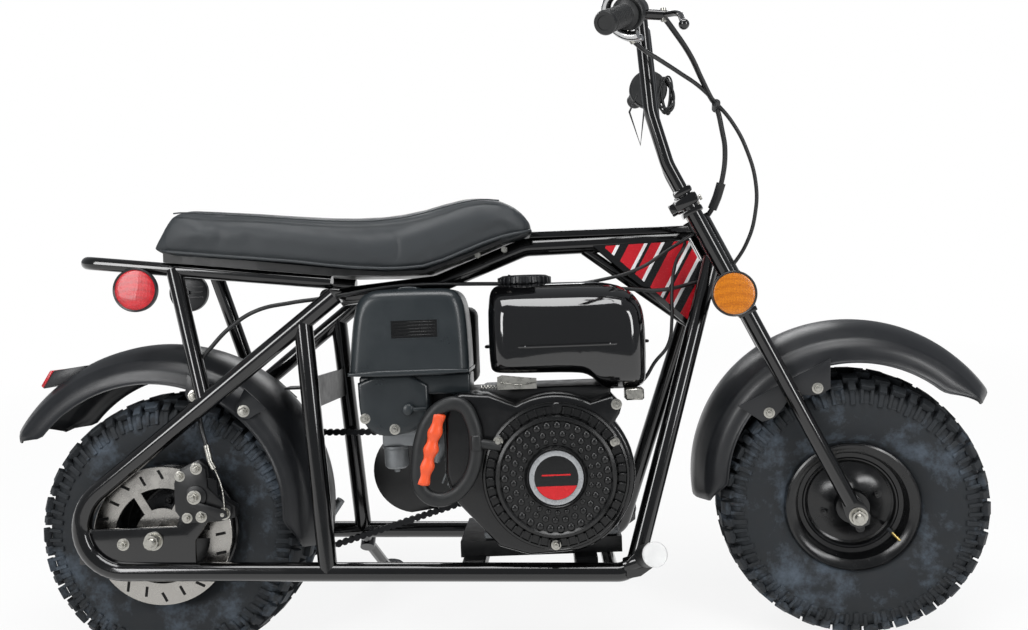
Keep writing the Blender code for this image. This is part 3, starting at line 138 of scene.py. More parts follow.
FLOOR_HALF = 30.0
FLOOR_DROP = -0.0004
paper, tree, shader = new_material("white_paper")
shader.inputs["Base Color"].default_value = linear("f4f4f3")
shader.inputs["Roughness"].default_value = 0.9
shader.inputs["Specular IOR Level"].default_value = 0.2
path_kind = node(tree, "LightPath")
glow = node(tree, "Emission", {"Color": linear("ffffff"), "Strength": 1.0})
seen = node(tree, "Math", {"operation": "MAXIMUM"}, i0=path_kind.outputs["Is Camera Ray"],
            i1=path_kind.outputs["Is Glossy Ray"])
seen = node(tree, "Math", {"operation": "MAXIMUM"}, i0=seen.outputs[0],
            i1=path_kind.outputs["Is Transmission Ray"])
reach = node(tree, "VectorMath", {"operation": "LENGTH"}, i0=node(tree, "TexCoord").outputs["Object"])
clear = node(tree, "MapRange", {"From Min": 1.0, "From Max": 3.0, "To Min": 0.86, "To Max": 1.0},
             Value=reach.outputs["Value"])
share = node(tree, "Math", {"operation": "MULTIPLY"}, i0=seen.outputs[0], i1=clear.outputs[0])
blended = node(tree, "MixShader", None, i0=share.outputs[0], i1=shader.outputs[0], i2=glow.outputs[0])
tree.links.new(blended.outputs[0], tree.nodes["Material Output"].inputs["Surface"])

shape = bmesh.new()
bmesh.ops.create_grid(shape, x_segments=1, y_segments=1, size=FLOOR_HALF)
floor_mesh = bpy.data.meshes.new("floor")
shape.to_mesh(floor_mesh)
shape.free()
floor = bpy.data.objects.new("floor", floor_mesh)
floor.location.z = FLOOR_DROP
floor_mesh.materials.append(paper)
bpy.context.scene.collection.objects.link(floor)

bpy.context.scene.view_settings.view_transform = "Standard"
world = bpy.data.worlds.new("studio")
bpy.context.scene.world = world
world.use_nodes = True
tree = world.node_tree
sky = tree.nodes["Background"]
sky.inputs["Color"].default_value = linear("b9bcc0")
sky.inputs["Strength"].default_value = 0.52
path_kind = node(tree, "LightPath")
white = node(tree, "Background", {"Color": linear("ffffff"), "Strength": 1.0})
seen = node(tree, "Math", {"operation": "MAXIMUM"}, i0=path_kind.outputs["Is Camera Ray"],
            i1=path_kind.outputs["Is Transmission Ray"])
blended = node(tree, "MixShader", None, i0=seen.outputs[0], i1=sky.outputs[0], i2=white.outputs[0])
tree.links.new(blended.outputs[0], tree.nodes["World Output"].inputs["Surface"])

SOFTBOXES = (
    # name, place and aim measured from the rear hub, width, height, watts
    ("overhead", (0.55, -0.55, 3.0), (0.6, 0.0, 0.4), 2.6, 1.1, 62.0),
    ("left_strip", (-1.35, -2.3, 1.7), (0.5, 0.0, 0.45), 0.7, 2.0, 44.0),
    ("right_strip", (2.75, -2.1, 1.55), (0.8, 0.0, 0.45), 0.6, 1.9, 36.0),
    ("rear_glow", (0.6, 2.6, 1.9), (0.6, 0.0, 0.5), 2.4, 1.0, 34.0),
)
for name, place, aim, width, height, watts in SOFTBOXES:
    light = bpy.data.lights.new(name, "AREA")
    light.shape = "RECTANGLE"
    light.size, light.size_y = width, height
    light.energy = watts
    lamp = bpy.data.objects.new(name, light)
    place = Matrix.Translation(REAR_HUB) @ Vector(place)
    lamp.location = place
    lamp.rotation_euler = (REAR_HUB + Vector(aim) - place).to_track_quat("-Z", "Y").to_euler()
    bpy.context.scene.collection.objects.link(lamp)


# Steel frame
# Bent and welded tube, sprayed with black gloss enamel. The coat has a faint orange peel, and
# its gloss drops a little where hands and dust have been.

def weather(tree, shader, codes, cloud_mm, rough, bump=0.0, bump_mm=0.2):
    """Breaks up a finish: colour and roughness shift in clouds of a size, over a fine relief."""
    place = node(tree, "TexCoord").outputs["Object"]
    settings = {"Scale": 1 / (cloud_mm * MM), "Detail": 4.0, "Roughness": 0.6}
    cloud = node(tree, "TexNoise", settings, Vector=place)
    tint = node(tree, "Mix", {"data_type": "RGBA", 6: linear(codes[0]), 7: linear(codes[1])},
                i0=cloud.outputs["Fac"])
    gloss = node(tree, "MapRange",
                 {"From Min": 0.3, "From Max": 0.7, "To Min": rough[0], "To Max": rough[1]},
                 Value=cloud.outputs["Fac"])
    tree.links.new(tint.outputs[2], shader.inputs["Base Color"])
    tree.links.new(gloss.outputs[0], shader.inputs["Roughness"])
    if bump:
        grain = node(tree, "TexNoise", {"Scale": 1 / (bump_mm * 4 * MM), "Detail": 2.0}, Vector=place)
        relief = node(tree, "Bump", {"Strength": bump, "Distance": bump_mm * MM},
                      Height=grain.outputs["Fac"])
        tree.links.new(relief.outputs[0], shader.inputs["Normal"])


def finish(name, codes, cloud_mm, rough, bump=0.0, bump_mm=0.2, metal=0.0, coat=(0.0, 0.03)):
    """A weathered material. Metal is its metallic share, coat a clear coat's weight and roughness."""
    made, tree, shader = new_material(name)
    shader.inputs["Metallic"].default_value = metal
    weather(tree, shader, codes, cloud_mm, rough, bump, bump_mm)
    shader.inputs["Coat Weight"].default_value, shader.inputs["Coat Roughness"].default_value = coat
    return made


frame_enamel = finish("black_gloss_enamel", ("020202", "050506"), 38.5, (0.1, 0.16), 0.04,
                      0.5, coat=(0.5, 0.06))


def coat(material, *names):
    """Gives CAD nodes a finish."""
    for name in names:
        slots = NODES[name].data.materials
        slots.clear()
        slots.append(material)


coat(frame_enamel, "frame_side_left", "frame_side_right", "backbone", "head_tube", "rack", "cross_plate",
     "engine_deck", "peg_cross_tube", "fork_leg_left", "fork_leg_right", "lower_crown", "upper_crown",
     "handlebar_left", "handlebar_right")


def turned(profile, steps=48, centre=(0, 0, 0), closed=False):
    """A shape turned about Y from (radius, y) points."""
    made = bmesh.new()
    points = [made.verts.new((radius, y, 0)) for radius, y in profile]
    edges = [made.edges.new(pair) for pair in zip(points, points[1:])]
    if closed:
        edges.append(made.edges.new((points[-1], points[0])))
    bmesh.ops.spin(made, geom=points + edges, cent=(0, 0, 0), axis=(0, 1, 0), angle=2 * pi, steps=steps,
                   use_merge=True)
    bmesh.ops.remove_doubles(made, verts=made.verts, dist=0.02 * MM)
    bmesh.ops.recalc_face_normals(made, faces=made.faces)
    made.transform(Matrix.Translation(centre))
    return made


def eased(made, offset, edges=None, segments=1):
    """Rounds the edges of a shape, or some of them."""
    bmesh.ops.bevel(made, geom=edges or made.edges[:], offset=offset, affect="EDGES", segments=segments,
                    profile=0.5, material=-1)


def sharp(made):
    """A shape's edges that turn by more than 30 degrees."""
    return [e for e in made.edges if e.calc_face_angle(0) > radians(30)]


def boxed(low, high, bevel=0.0, segments=2):
    """A box between two corners with rounded edges."""
    low, high = Vector(low), Vector(high)
    made = bmesh.new()
    bmesh.ops.create_cube(made, size=1.0)
    bmesh.ops.scale(made, vec=high - low, verts=made.verts)
    made.transform(Matrix.Translation((low + high) / 2))
    if bevel:
        eased(made, bevel, segments=segments)
    return made


def slab(outline, low_y, high_y, bevel=0.0):
    """A flat plate from its (x, z) outline, between two distances across the bike."""
    made = bmesh.new()
    face = made.faces.new([made.verts.new((x, low_y, z)) for x, z in outline])
    grown = bmesh.ops.extrude_face_region(made, geom=[face])
    tops = [v for v in grown["geom"] if isinstance(v, bmesh.types.BMVert)]
    bmesh.ops.translate(made, vec=(0, high_y - low_y, 0), verts=tops)
    bmesh.ops.recalc_face_normals(made, faces=made.faces)
    if bevel:
        eased(made, bevel, sharp(made), 2)
    return made


def swept(points, radius, sides=6, closed=False, smooth_steps=0):
    """A round bar along points. With smooth_steps, it follows a soft curve through them."""
    curve = bpy.data.curves.new("swept", "CURVE")
    curve.dimensions = "3D"
    curve.bevel_depth = radius
    curve.bevel_resolution = sides
    curve.use_fill_caps = not closed
    line = curve.splines.new("BEZIER" if smooth_steps else "POLY")
    if smooth_steps:
        line.resolution_u = smooth_steps
        line.bezier_points.add(len(points) - 1)
        for knot, point in zip(line.bezier_points, points):
            knot.co = point
            knot.handle_left_type = knot.handle_right_type = "AUTO"
    else:
        line.points.add(len(points) - 1)
        for knot, point in zip(line.points, points):
            knot.co = (*point, 1.0)
    line.use_cyclic_u = closed
    holder = bpy.data.objects.new("swept", curve)
    bpy.context.scene.collection.objects.link(holder)
    mesh = bpy.data.meshes.new_from_object(holder.evaluated_get(bpy.context.evaluated_depsgraph_get()))
    bpy.data.objects.remove(holder)
    made = bmesh.new()
    made.from_mesh(mesh)
    bmesh.ops.remove_doubles(made, verts=made.verts, dist=0.02 * MM)
    bmesh.ops.recalc_face_normals(made, faces=made.faces)
    return made


def together(*shapes):
    """Several closed shapes as one mesh."""
    made = bmesh.new()
    for shape in shapes:
        mesh = bpy.data.meshes.new("part")
        shape.to_mesh(mesh)
        shape.free()
        made.from_mesh(mesh)
        bpy.data.meshes.remove(mesh)
    return made


def piece(name, shape, material, body="frame", place=BIKE, stands_for=None, crease=38.0,
          subdivide=0):
    """Finishes a shape: its place goes into its mesh, and it rides on its body, if it has one."""
    mesh = bpy.data.meshes.new(name)
    shape.to_mesh(mesh)
    shape.free()
    mesh.transform(place)
    mesh.shade_smooth()
    if crease < 180:
        mesh.set_sharp_from_angle(angle=radians(crease))
    mesh.materials.append(material)
    made = bpy.data.objects.new(name, mesh)
    bpy.context.scene.collection.objects.link(made)
    if subdivide:
        finer = made.modifiers.new("Finer", "SUBSURF")
        finer.levels = finer.render_levels = subdivide
    if body:
        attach(made, body)
    if stands_for:
        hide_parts(stands_for)
    return made


# Screws and nuts
# Zinc-plated cap screws and hexagon nuts hold the bike together. The plating is bright, with
# a faint yellow cast and fine wear on its edges.

zinc_plate = finish("zinc_plated_steel", ("a7a59d", "c9c7c0"), 8.33, (0.22, 0.38), 0.1, 0.3,
                    metal=1.0)


def hexagon(radius, low, high, centre=(0, 0, 0)):
    """A hexagon nut or bolt head along Y, with its edges eased."""
    made = bmesh.new()
    bmesh.ops.create_cone(made, cap_ends=True, segments=6, radius1=radius, radius2=radius,
                          depth=abs(high - low))
    eased(made, radius * 0.07)
    made.transform(Matrix.Translation(Vector(centre) + Vector((0, (low + high) / 2, 0))) @ QUARTER)
    return made


def screw(x, z, face, side, radius=0.0065):
    """A washer and a bolt head standing on a face, towards one side."""
    washer = turned(((0, 0), (radius * 1.45, 0), (radius * 1.5, side * 0.0012),
                     (radius * 0.9, side * 0.0016), (0, side * 0.0016)), 24, (x, face, z))
    head = hexagon(radius, side * 0.0014, side * (0.0014 + radius * 0.75), (x, face, z))
    shank = turned(((0, side * radius * 1.5), (radius * 0.48, side * radius * 1.45),
                    (radius * 0.52, side * 0.001), (0, side * 0.001)), 16, (x, face, z))
    return together(washer, head, shank)


# Axle hardware: the node's plain rod stays inside, with a real washer, nut and thread outside.
SIDES = ((-1, "right"), (1, "left"))
AXLE_REACH = {"rear": 0.148, "front": 0.121}
coat(zinc_plate, "front_axle", "rear_axle", "steering_stem")


def axle_end(reach, side):
    """The washer, nut and thread end at one side of an axle."""
    washer = turned(((0, 0), (0.0158, 0), (0.016, side * 0.0022), (0.009, side * 0.0028),
                     (0, side * 0.0028)), 32, (0, side * reach, 0))
    nut = hexagon(0.0136, side * 0.0026, side * 0.0134, (0, side * reach, 0))
    turns = [(0.0078 - 0.0006 * (i % 2), side * (0.013 + 0.0008 * i)) for i in range(8)]
    thread = turned(((0, side * 0.0125), (0.0078, side * 0.0125), *turns, (0.006, side * 0.0205),
                     (0, side * 0.0205)), 24, (0, side * reach, 0))
    return together(washer, nut, thread)


for side, label in SIDES:
    rear_end = axle_end(AXLE_REACH["rear"], side)
    rear_end.transform(Matrix.Translation((0, 0, WHEEL_RADIUS)))
    piece("rear_axle_nut_" + label, rear_end, zinc_plate)
    piece("front_axle_nut_" + label, axle_end(AXLE_REACH["front"], side), zinc_plate, "steering", FORK)


# Tyres
# Fat off-road tyres in carbon-black rubber. Rows of moulded knobs stand on the tread, and
# bars and open squares run down onto the sidewall. The rubber has a dusty blue-grey bloom.

BLOOM_MM = 76.9
tyre_rubber, tree, shader = new_material("carbon_black_rubber")
weather(tree, shader, ("17191b", "282c30"), 29.4, (0.6, 0.8), 0.25, 0.6)
shader.inputs["Specular IOR Level"].default_value = 0.35
place = node(tree, "TexCoord").outputs["Object"]
settings = {"Scale": 1 / (BLOOM_MM * MM), "Detail": 6.0, "Roughness": 0.7}
bloom = node(tree, "TexNoise", settings, Vector=place)
dusty = node(tree, "MapRange", {"From Min": 0.5, "From Max": 0.72, "To Min": 0.0, "To Max": 0.75},
             Value=bloom.outputs["Fac"])
deep = shader.inputs["Base Color"].links[0].from_socket
tint = node(tree, "Mix", {"data_type": "RGBA", 7: linear("56616d")}, i0=dusty.outputs[0], i6=deep)
tree.links.new(tint.outputs[2], shader.inputs["Base Color"])

PITCHES = 26
KNOB_EDGE = 0.0011
TREAD_TOP = 0.2408
CARCASS = (
    # radius, distance from the middle plane
    (0.103, 0.0615), (0.118, 0.065), (0.1225, 0.07), (0.13, 0.0765), (0.142, 0.0822), (0.158, 0.0855),
    (0.175, 0.0862), (0.19, 0.0852), (0.202, 0.0825), (0.212, 0.077), (0.22, 0.066), (0.2255, 0.048),
    (0.229, 0.024), (0.2298, 0.0),
)
KNOBS = (
    # half-pitch turn, middle radius, distance across, tilt, length round, width across, height
    (0.0, 0.2345, 0.017, 3.0, 0.025, 0.0245, 0.0125),
    (0.5, 0.2345, -0.017, -3.0, 0.025, 0.0245, 0.0125),
    (0.5, 0.231, 0.05, 13.0, 0.027, 0.026, 0.0125),
    (0.0, 0.231, -0.05, -13.0, 0.027, 0.026, 0.0125),
    (0.0, 0.2235, 0.074, 38.0, 0.023, 0.019, 0.012),
    (0.5, 0.2235, -0.074, -38.0, 0.023, 0.019, 0.012),
    (0.5, 0.2195, 0.076, 42.0, 0.013, 0.02, 0.011),
    (0.0, 0.2195, -0.076, -42.0, 0.013, 0.02, 0.011),
)
SIDE_MARKS = (
    # half-pitch turn, middle radius, length round, length along the wall
    (0.5, 0.202, 0.0085, 0.029),
    (-0.17, 0.203, 0.0062, 0.026),
    (0.17, 0.203, 0.0062, 0.026),
    (0.0, 0.1925, 0.021, 0.006),
)


def spun(turns):
    """A turn about the axle's direction, given as a share of a full one."""
    return Matrix.Rotation(2 * pi * turns, 4, "Y")


def knobbly_tyre():
    """The carcass with its knobs, each a small closed block sunk into it."""
    profile = [(r, -y) for r, y in CARCASS] + [(r, y) for r, y in reversed(CARCASS[:-1])]
    carcass = turned(profile, 112, closed=True)
    blocks = bmesh.new()
    for pitch in range(PITCHES):
        for turn, radius, across, tilt, length, width, height in KNOBS:
            spin = spun((pitch + turn) / PITCHES)
            lean = Matrix.Rotation(radians(-tilt), 4, "X")
            size = Matrix.Diagonal((length, width, height, 1))
            bmesh.ops.create_cube(blocks, size=1.0, matrix=spin @ Matrix.Translation((0, across, radius))
                                  @ lean @ size)
        for side in (-1, 1):
            shift = 0.0 if side > 0 else 0.5
            for turn, radius, length, tall in SIDE_MARKS:
                spin = spun((pitch + turn + shift) / PITCHES)
                lean = Matrix.Rotation(radians(16 * side), 4, "X")
                size = Matrix.Diagonal((length, 0.0075, tall, 1))
                bmesh.ops.create_cube(blocks, size=1.0,
                                      matrix=spin @ Matrix.Translation((0, 0.0815 * side, radius)) @ lean
                                      @ size)
    eased(blocks, KNOB_EDGE)
    # No knob stands out past the tread's top, nor into the ground, on which the tyre leans.
    for vert in blocks.verts:
        reach = math.hypot(vert.co.x, vert.co.z)
        limit = min(TREAD_TOP, (REAR_HUB.z - abs(vert.co.y * ACROSS.z)) / UPWARD.z)
        if reach > limit:
            vert.co.x *= limit / reach
            vert.co.z *= limit / reach
    return together(carcass, blocks)


WHEEL_AT = {"rear": BIKE @ Matrix.Translation((0, 0, WHEEL_RADIUS)), "front": FORK}
for end in ("rear", "front"):
    piece(end + "_tyre_tread", knobbly_tyre(), tyre_rubber, end + "_wheel", WHEEL_AT[end], end + "_tyre",
          crease=30)


# Rims
# Pressed steel discs, dished towards the right and sprayed black, with a rolled lip, a raised
# ring, four flange bolts and a brass valve.

rim_enamel = finish("rim_black_enamel", ("070708", "0f1011"), 25.0, (0.16, 0.3), 0.08, 0.5)

RIM_FACE = (
    # radius, distance across towards the right, from the lip to the hub
    (0.101, 0.0655), (0.1075, 0.0712), (0.113, 0.0722), (0.1162, 0.0705), (0.1165, 0.0665), (0.115, 0.065),
    (0.102, 0.064), (0.099, 0.06),
)
RIM_DISH = ((0.0965, 0.058), (0.0945, 0.046), (0.0925, 0.0435), (0.085, 0.0425), (0.0825, 0.044),
            (0.08, 0.0432), (0.077, 0.036), (0.0735, 0.0338), (0.065, 0.0352), (0.056, 0.0385),
            (0.044, 0.0445), (0.035, 0.052), (0.031, 0.056), (0.03, 0.07), (0.029, 0.0718), (0.01, 0.0718),)


def around(centre, radius, angle):
    """The (x, z) of a point at some degrees round a centre."""
    return centre[0] + radius * cos(radians(angle)), centre[1] + radius * sin(radians(angle))


def pressed_rim():
    """Both rims' section, turned: the near lip and dish, the well and the plain far lip."""
    near = [(r, -y) for r, y in reversed(RIM_DISH)] + [(0.0985, -0.064)]
    lip = [(r, -y) for r, y in RIM_FACE[1:]]
    well = [(0.0985, -0.05), (0.09, -0.03), (0.09, 0.03), (0.0985, 0.05)]
    far = [(r, y) for r, y in reversed(RIM_FACE)]
    back = [(0.0955, 0.06), (0.087, 0.029), (0.087, -0.026), (0.074, -0.029), (0.056, -0.0335),
            (0.042, -0.038), (0.03, -0.04), (0.03, 0.0718), (0.01, 0.0718)]
    return turned(near + lip + well + far + back, 96, closed=True)


# Turned brass, dulled to a warm yellow grey.
valve_brass = finish("valve_brass", ("9c8650", "c2ad70"), 6.67, (0.25, 0.4), metal=1.0)

FLANGE_BOLT_RING = 0.05
VALVE_TURN = radians(-36.0)
for end in ("rear", "front"):
    piece(end + "_rim_pressing", pressed_rim(), rim_enamel, end + "_wheel", WHEEL_AT[end], end + "_rim",
          crease=30)
    bolts = [screw(*around((0, 0), FLANGE_BOLT_RING, 20 + 90 * i), -0.0415, -1, 0.0055) for i in range(4)]
    piece(end + "_flange_bolts", together(*bolts), rim_enamel, end + "_wheel", WHEEL_AT[end])
    foot = Vector((0.08 * cos(VALVE_TURN), -0.046, 0.08 * sin(VALVE_TURN)))
    tip = foot + Vector((0.018 * cos(VALVE_TURN + 0.2), -0.02, 0.018 * sin(VALVE_TURN - 0.4)))
    stem = swept((foot, foot.lerp(tip, 0.35)), 0.004)
    brass = swept((foot.lerp(tip, 0.3), tip), 0.0027)
    piece(end + "_valve_boot", stem, tyre_rubber, end + "_wheel", WHEEL_AT[end])
    piece(end + "_valve_stem", brass, valve_brass, end + "_wheel", WHEEL_AT[end])


# Brake disc
# A slotted stainless disc on the rear hub, carried by a spider of six arms. Its wide faces are
# ground and bright, and its slots are dark blocks of painted shade. The calliper that grips it
# comes further down.

disc_steel = finish("ground_stainless_disc", ("9c9995", "c3c0ba"), 16.7, (0.2, 0.32), 0.15,
                    0.3, metal=1.0)

DISC_PLANE = -0.112
DISC_RADIUS = 0.1205
DISC_INNER = 0.083
DISC_HALF = 0.0022
DISC_ARMS = 6
SLOTS_ROUND = 20


def hoop(inner, outer, low, high, steps=48, centre=(0, 0, 0)):
    """A plain ring along Y, or a plain disc if its inner radius is 0."""
    return turned(((inner, low), (outer, low), (outer, high), (inner, high)), steps, centre,
                  closed=inner > 0)


def slotted_disc():
    """A ring with a ground edge and the spider's arms; the dark slots are a piece of their own."""
    ring = turned(((DISC_INNER, DISC_HALF), (DISC_RADIUS - 0.001, DISC_HALF),
                   (DISC_RADIUS, DISC_HALF - 0.0008), (DISC_RADIUS, 0.0008 - DISC_HALF),
                   (DISC_RADIUS - 0.001, -DISC_HALF), (DISC_INNER, -DISC_HALF)), 96, (0, DISC_PLANE, 0),
                  closed=True)
    hub = hoop(0.014, 0.048, DISC_HALF, -DISC_HALF, 48, (0, DISC_PLANE, 0))
    arms = bmesh.new()
    for i in range(DISC_ARMS):
        spin = spun(i / DISC_ARMS)
        size = Matrix.Diagonal((0.042, 0.004, 0.014, 1))
        bmesh.ops.create_cube(arms, size=1.0, matrix=spin @ Matrix.Translation((0.066, DISC_PLANE, 0))
                              @ size)
    return together(ring, hub, arms)


# The slots are dark blocks sunk through the disc. They are painted shade standing for the holes, dark where
# the shadow behind the disc shows through.
slot_shadow = finish("painted_slot_shade", ("0c0c0c", "1a1a1a"), 11.1, (0.5, 0.7), metal=0.6)
piece("rear_disc_ring", slotted_disc(), disc_steel, "rear_wheel", WHEEL_AT["rear"], "brake_disc", crease=30)
slots = bmesh.new()
for i in range(SLOTS_ROUND):
    reach = 0.1065 if i % 2 else 0.101
    lean = radians(62 if i % 2 else 80)
    spin = spun(i / SLOTS_ROUND)
    tilt = Matrix.Rotation(lean, 4, "Y")
    size = Matrix.Diagonal((0.0062, 2 * DISC_HALF + 0.0006, 0.019, 1))
    bmesh.ops.create_cube(slots, size=1.0, matrix=spin @ Matrix.Translation((reach, DISC_PLANE, 0)) @ tilt
                          @ size)
eased(slots, 0.0009)
piece("rear_disc_slots", slots, slot_shadow, "rear_wheel", WHEEL_AT["rear"])


# Fenders
# One section is swept round each wheel: a crowned top, a rounded ridge and a deep skirt that
# runs out towards both tips. Moulded black plastic, satin, with a faint pebble.

moulded_plastic = finish("moulded_black_plastic", ("121316", "1b1d20"), 55.6, (0.3, 0.42),
                         0.1, 0.7)

FENDER_SECTION = (
    # distance across, drop below the crown
    (0.0, 0.0), (0.022, 0.0018), (0.044, 0.0072), (0.058, 0.0138), (0.067, 0.0194), (0.0735, 0.0232),
    (0.078, 0.0262), (0.0808, 0.03), (0.084, 0.0345), (0.088, 0.0395), (0.0908, 0.046), (0.0922, 0.054),
    (0.093, 0.061), (0.095, 0.064), (0.0962, 0.0655), (0.0964, 0.0672),
)
RIDGE_DROP = 0.0262
RIDGE_HALF = 0.078
FENDER_WALL = 0.003
TIP_DEGREES = 3.2
FENDER_STEPS = 72
FENDERS = (
    # name, body, axes, centre ahead and above, crown radius, tip angles, how far the skirt runs out
    ("front_fender", "steering", FORK, (0.003, 0.043), 0.2885, (33.5, 187.0), (17.0, 10.0)),
    ("rear_fender", "frame", BIKE, (-0.032, 0.268), 0.3035, (-14.0, 149.5), (12.0, 9.0)),
)


def ease(value):
    """A soft step from 0 to 1."""
    value = min(max(value, 0.0), 1.0)
    return value * value * (3 - 2 * value)


def skin(made, rings, closed=True):
    """Joins rows of points with faces, and each row's ends if it is closed."""
    for one, two in zip(rings, rings[1:]):
        for i in range(len(one) - (not closed)):
            j = (i + 1) % len(one)
            made.faces.new((one[i], one[j], two[j], two[i]))


for name, body, axes, (ahead, above), crown, (start, end), (run_low, run_high) in FENDERS:
    shell = bmesh.new()
    rows = []
    for i in range(FENDER_STEPS + 1):
        angle = start + (end - start) * i / FENDER_STEPS
        # The skirt runs out towards both tips, and the last few degrees draw in.
        skirt = 0.16 + 0.84 * ease((angle - start) / run_low) * ease((end - angle) / run_high)
        near = min(angle - start, end - angle) / TIP_DEGREES
        narrow = 1.0 - 0.16 * (1 - min(near, 1.0)) ** 2
        row = []
        for across, drop in [(-a, d) for a, d in FENDER_SECTION[:0:-1]] + list(FENDER_SECTION):
            below = min(drop, RIDGE_DROP) + max(drop - RIDGE_DROP, 0.0) * skirt
            wide = across
            if drop > RIDGE_DROP:
                wide = math.copysign(RIDGE_HALF + (abs(across) - RIDGE_HALF) * (0.35 + 0.65 * skirt),
                                     across)
            x, z = around((ahead, above), crown - below, angle)
            row.append(shell.verts.new((x, wide * narrow, z)))
        rows.append(row)
    skin(shell, rows, closed=False)
    bmesh.ops.recalc_face_normals(shell, faces=shell.faces)
    if max(shell.faces, key=lambda f: f.calc_center_median().z).normal.z < 0:
        bmesh.ops.reverse_faces(shell, faces=shell.faces[:])
    bmesh.ops.solidify(shell, geom=shell.faces[:], thickness=FENDER_WALL)
    bmesh.ops.recalc_face_normals(shell, faces=shell.faces)
    piece(name + "_shell", shell, moulded_plastic, body, axes, name, crease=42)

# The front fender hangs on a plate each side, with two bolts; the rear one on two lugs a side.
LUG = ((0.03, -0.026), (-0.004, -0.016), (-0.013, -0.006), (-0.013, 0.006), (-0.004, 0.016), (0.03, 0.026))
FRONT_PLATE = ((136.0, 0.276), (134.0, 0.226), (129.0, 0.217), (123.0, 0.222), (116.4, 0.236),
               (110.0, 0.222), (105.0, 0.217), (100.0, 0.224), (98.0, 0.276))
PLATE_BOLT_RING = 0.23
REAR_LUGS = ((0.057, 0.481), (0.143, 0.451))
for side, label in SIDES:
    outline = [around((0, 0), r, a) for a, r in FRONT_PLATE]
    plate = slab(outline, side * 0.0952, side * 0.0985, 0.0008)
    bolts = [screw(*around((0, 0), PLATE_BOLT_RING, a), side * 0.0985, side) for a in (128.9, 105.4)]
    piece("front_fender_plate_" + label, plate, moulded_plastic, "steering", FORK)
    piece("front_fender_bolts_" + label, together(*bolts), zinc_plate, "steering", FORK)
    lugs, bolts = [], []
    for x, z in REAR_LUGS:
        away = Vector((x + 0.032, z - 0.272)).normalized()
        along = Vector((-away.y, away.x))
        corners = [tuple(Vector((x, z)) + away * a + along * b) for a, b in LUG]
        lugs.append(slab(corners, side * 0.0945, side * 0.0975, 0.0008))
        bolts.append(screw(x, z, side * 0.0975, side, 0.0072))
    piece("rear_fender_lugs_" + label, together(*lugs), moulded_plastic)
    piece("rear_fender_bolts_" + label, together(*bolts), zinc_plate)


# Tail lamp
# A slim wedge of black plastic on the rear fender, with a flat red lens on its slanted face.

lens_red, tree, shader = new_material("red_lens_plastic")


def lens_look(tree, shader, codes, prism_mm):
    """A moulded prism lens: small cells under a clear glossy face."""
    place = node(tree, "TexCoord").outputs["Object"]
    settings = {"Scale": 1 / (prism_mm * MM), "Randomness": 0.25}
    cells = node(tree, "TexVoronoi", settings, Vector=place)
    tint = node(tree, "ValToRGB", None, Fac=cells.outputs["Distance"])
    tint.color_ramp.elements[0].color = linear(codes[1])
    tint.color_ramp.elements[0].position = 0.15
    tint.color_ramp.elements[1].color = linear(codes[0])
    tint.color_ramp.elements[1].position = 0.75
    relief = node(tree, "Bump", {"Strength": 0.5, "Distance": 0.4 * MM}, Height=cells.outputs["Distance"])
    tree.links.new(tint.outputs["Color"], shader.inputs["Base Color"])
    tree.links.new(relief.outputs[0], shader.inputs["Normal"])
    shader.inputs["Roughness"].default_value = 0.28
    shader.inputs["Coat Weight"].default_value = 0.25
    shader.inputs["Coat Roughness"].default_value = 0.04


lens_look(tree, shader, ("980312", "cf1220"), 2.381)
LAMP_OUTLINE = ((-0.244, 0.4985), (-0.2235, 0.531), (-0.164, 0.5385), (-0.166, 0.524), (-0.199, 0.509))
housing = slab(LAMP_OUTLINE, -0.037, 0.037, 0.0022)
piece("tail_lamp_housing", housing, moulded_plastic, stands_for="tail_lamp")
slant = (Vector((-0.2235, 0.531)) - Vector((-0.244, 0.4985))).normalized()
out = Vector((-slant.y, slant.x))
foot, head = Vector((-0.244, 0.4985)) + slant * 0.001, Vector((-0.2235, 0.531)) - slant * 0.001
lens = slab([tuple(p) for p in (foot, head, head + out * 0.006 - slant * 0.002,
                                foot + out * 0.006 + slant * 0.002)], -0.0355, 0.0355, 0.0012)
piece("tail_lamp_lens", lens, lens_red)


# Seat
# A long foam seat under black vinyl, with a raised nose and a firm rolled edge. It is lofted
# slightly small and the foam is swelled under pressure, then the welts are sewn on.

GRAIN_MM = 1.613
SHEEN_MM = 111.1

# Embossed vinyl: a leather grain with cells of about 1.6 mm, and a sheen that shifts slowly.
seat_vinyl, tree, shader = new_material("black_seat_vinyl")
place = node(tree, "TexCoord").outputs["Object"]
settings = {"Scale": 1 / (GRAIN_MM * MM), "feature": "DISTANCE_TO_EDGE"}
leather = node(tree, "TexVoronoi", settings, Vector=place)
broad = node(tree, "TexNoise", {"Scale": 1 / (SHEEN_MM * MM), "Detail": 3.0}, Vector=place)
tint = node(tree, "Mix", {"data_type": "RGBA", 6: linear("24282b"), 7: linear("303437")},
            i0=broad.outputs["Fac"])
gloss = node(tree, "MapRange", {"To Min": 0.44, "To Max": 0.58}, Value=broad.outputs["Fac"])
grain = node(tree, "Bump", {"Strength": 0.35, "Distance": 0.25 * MM}, Height=leather.outputs["Distance"])
wave = node(tree, "Bump", {"Strength": 0.12, "Distance": 3 * MM}, Height=broad.outputs["Fac"],
            Normal=grain.outputs[0])
tree.links.new(tint.outputs[2], shader.inputs["Base Color"])
tree.links.new(gloss.outputs[0], shader.inputs["Roughness"])
tree.links.new(wave.outputs[0], shader.inputs["Normal"])

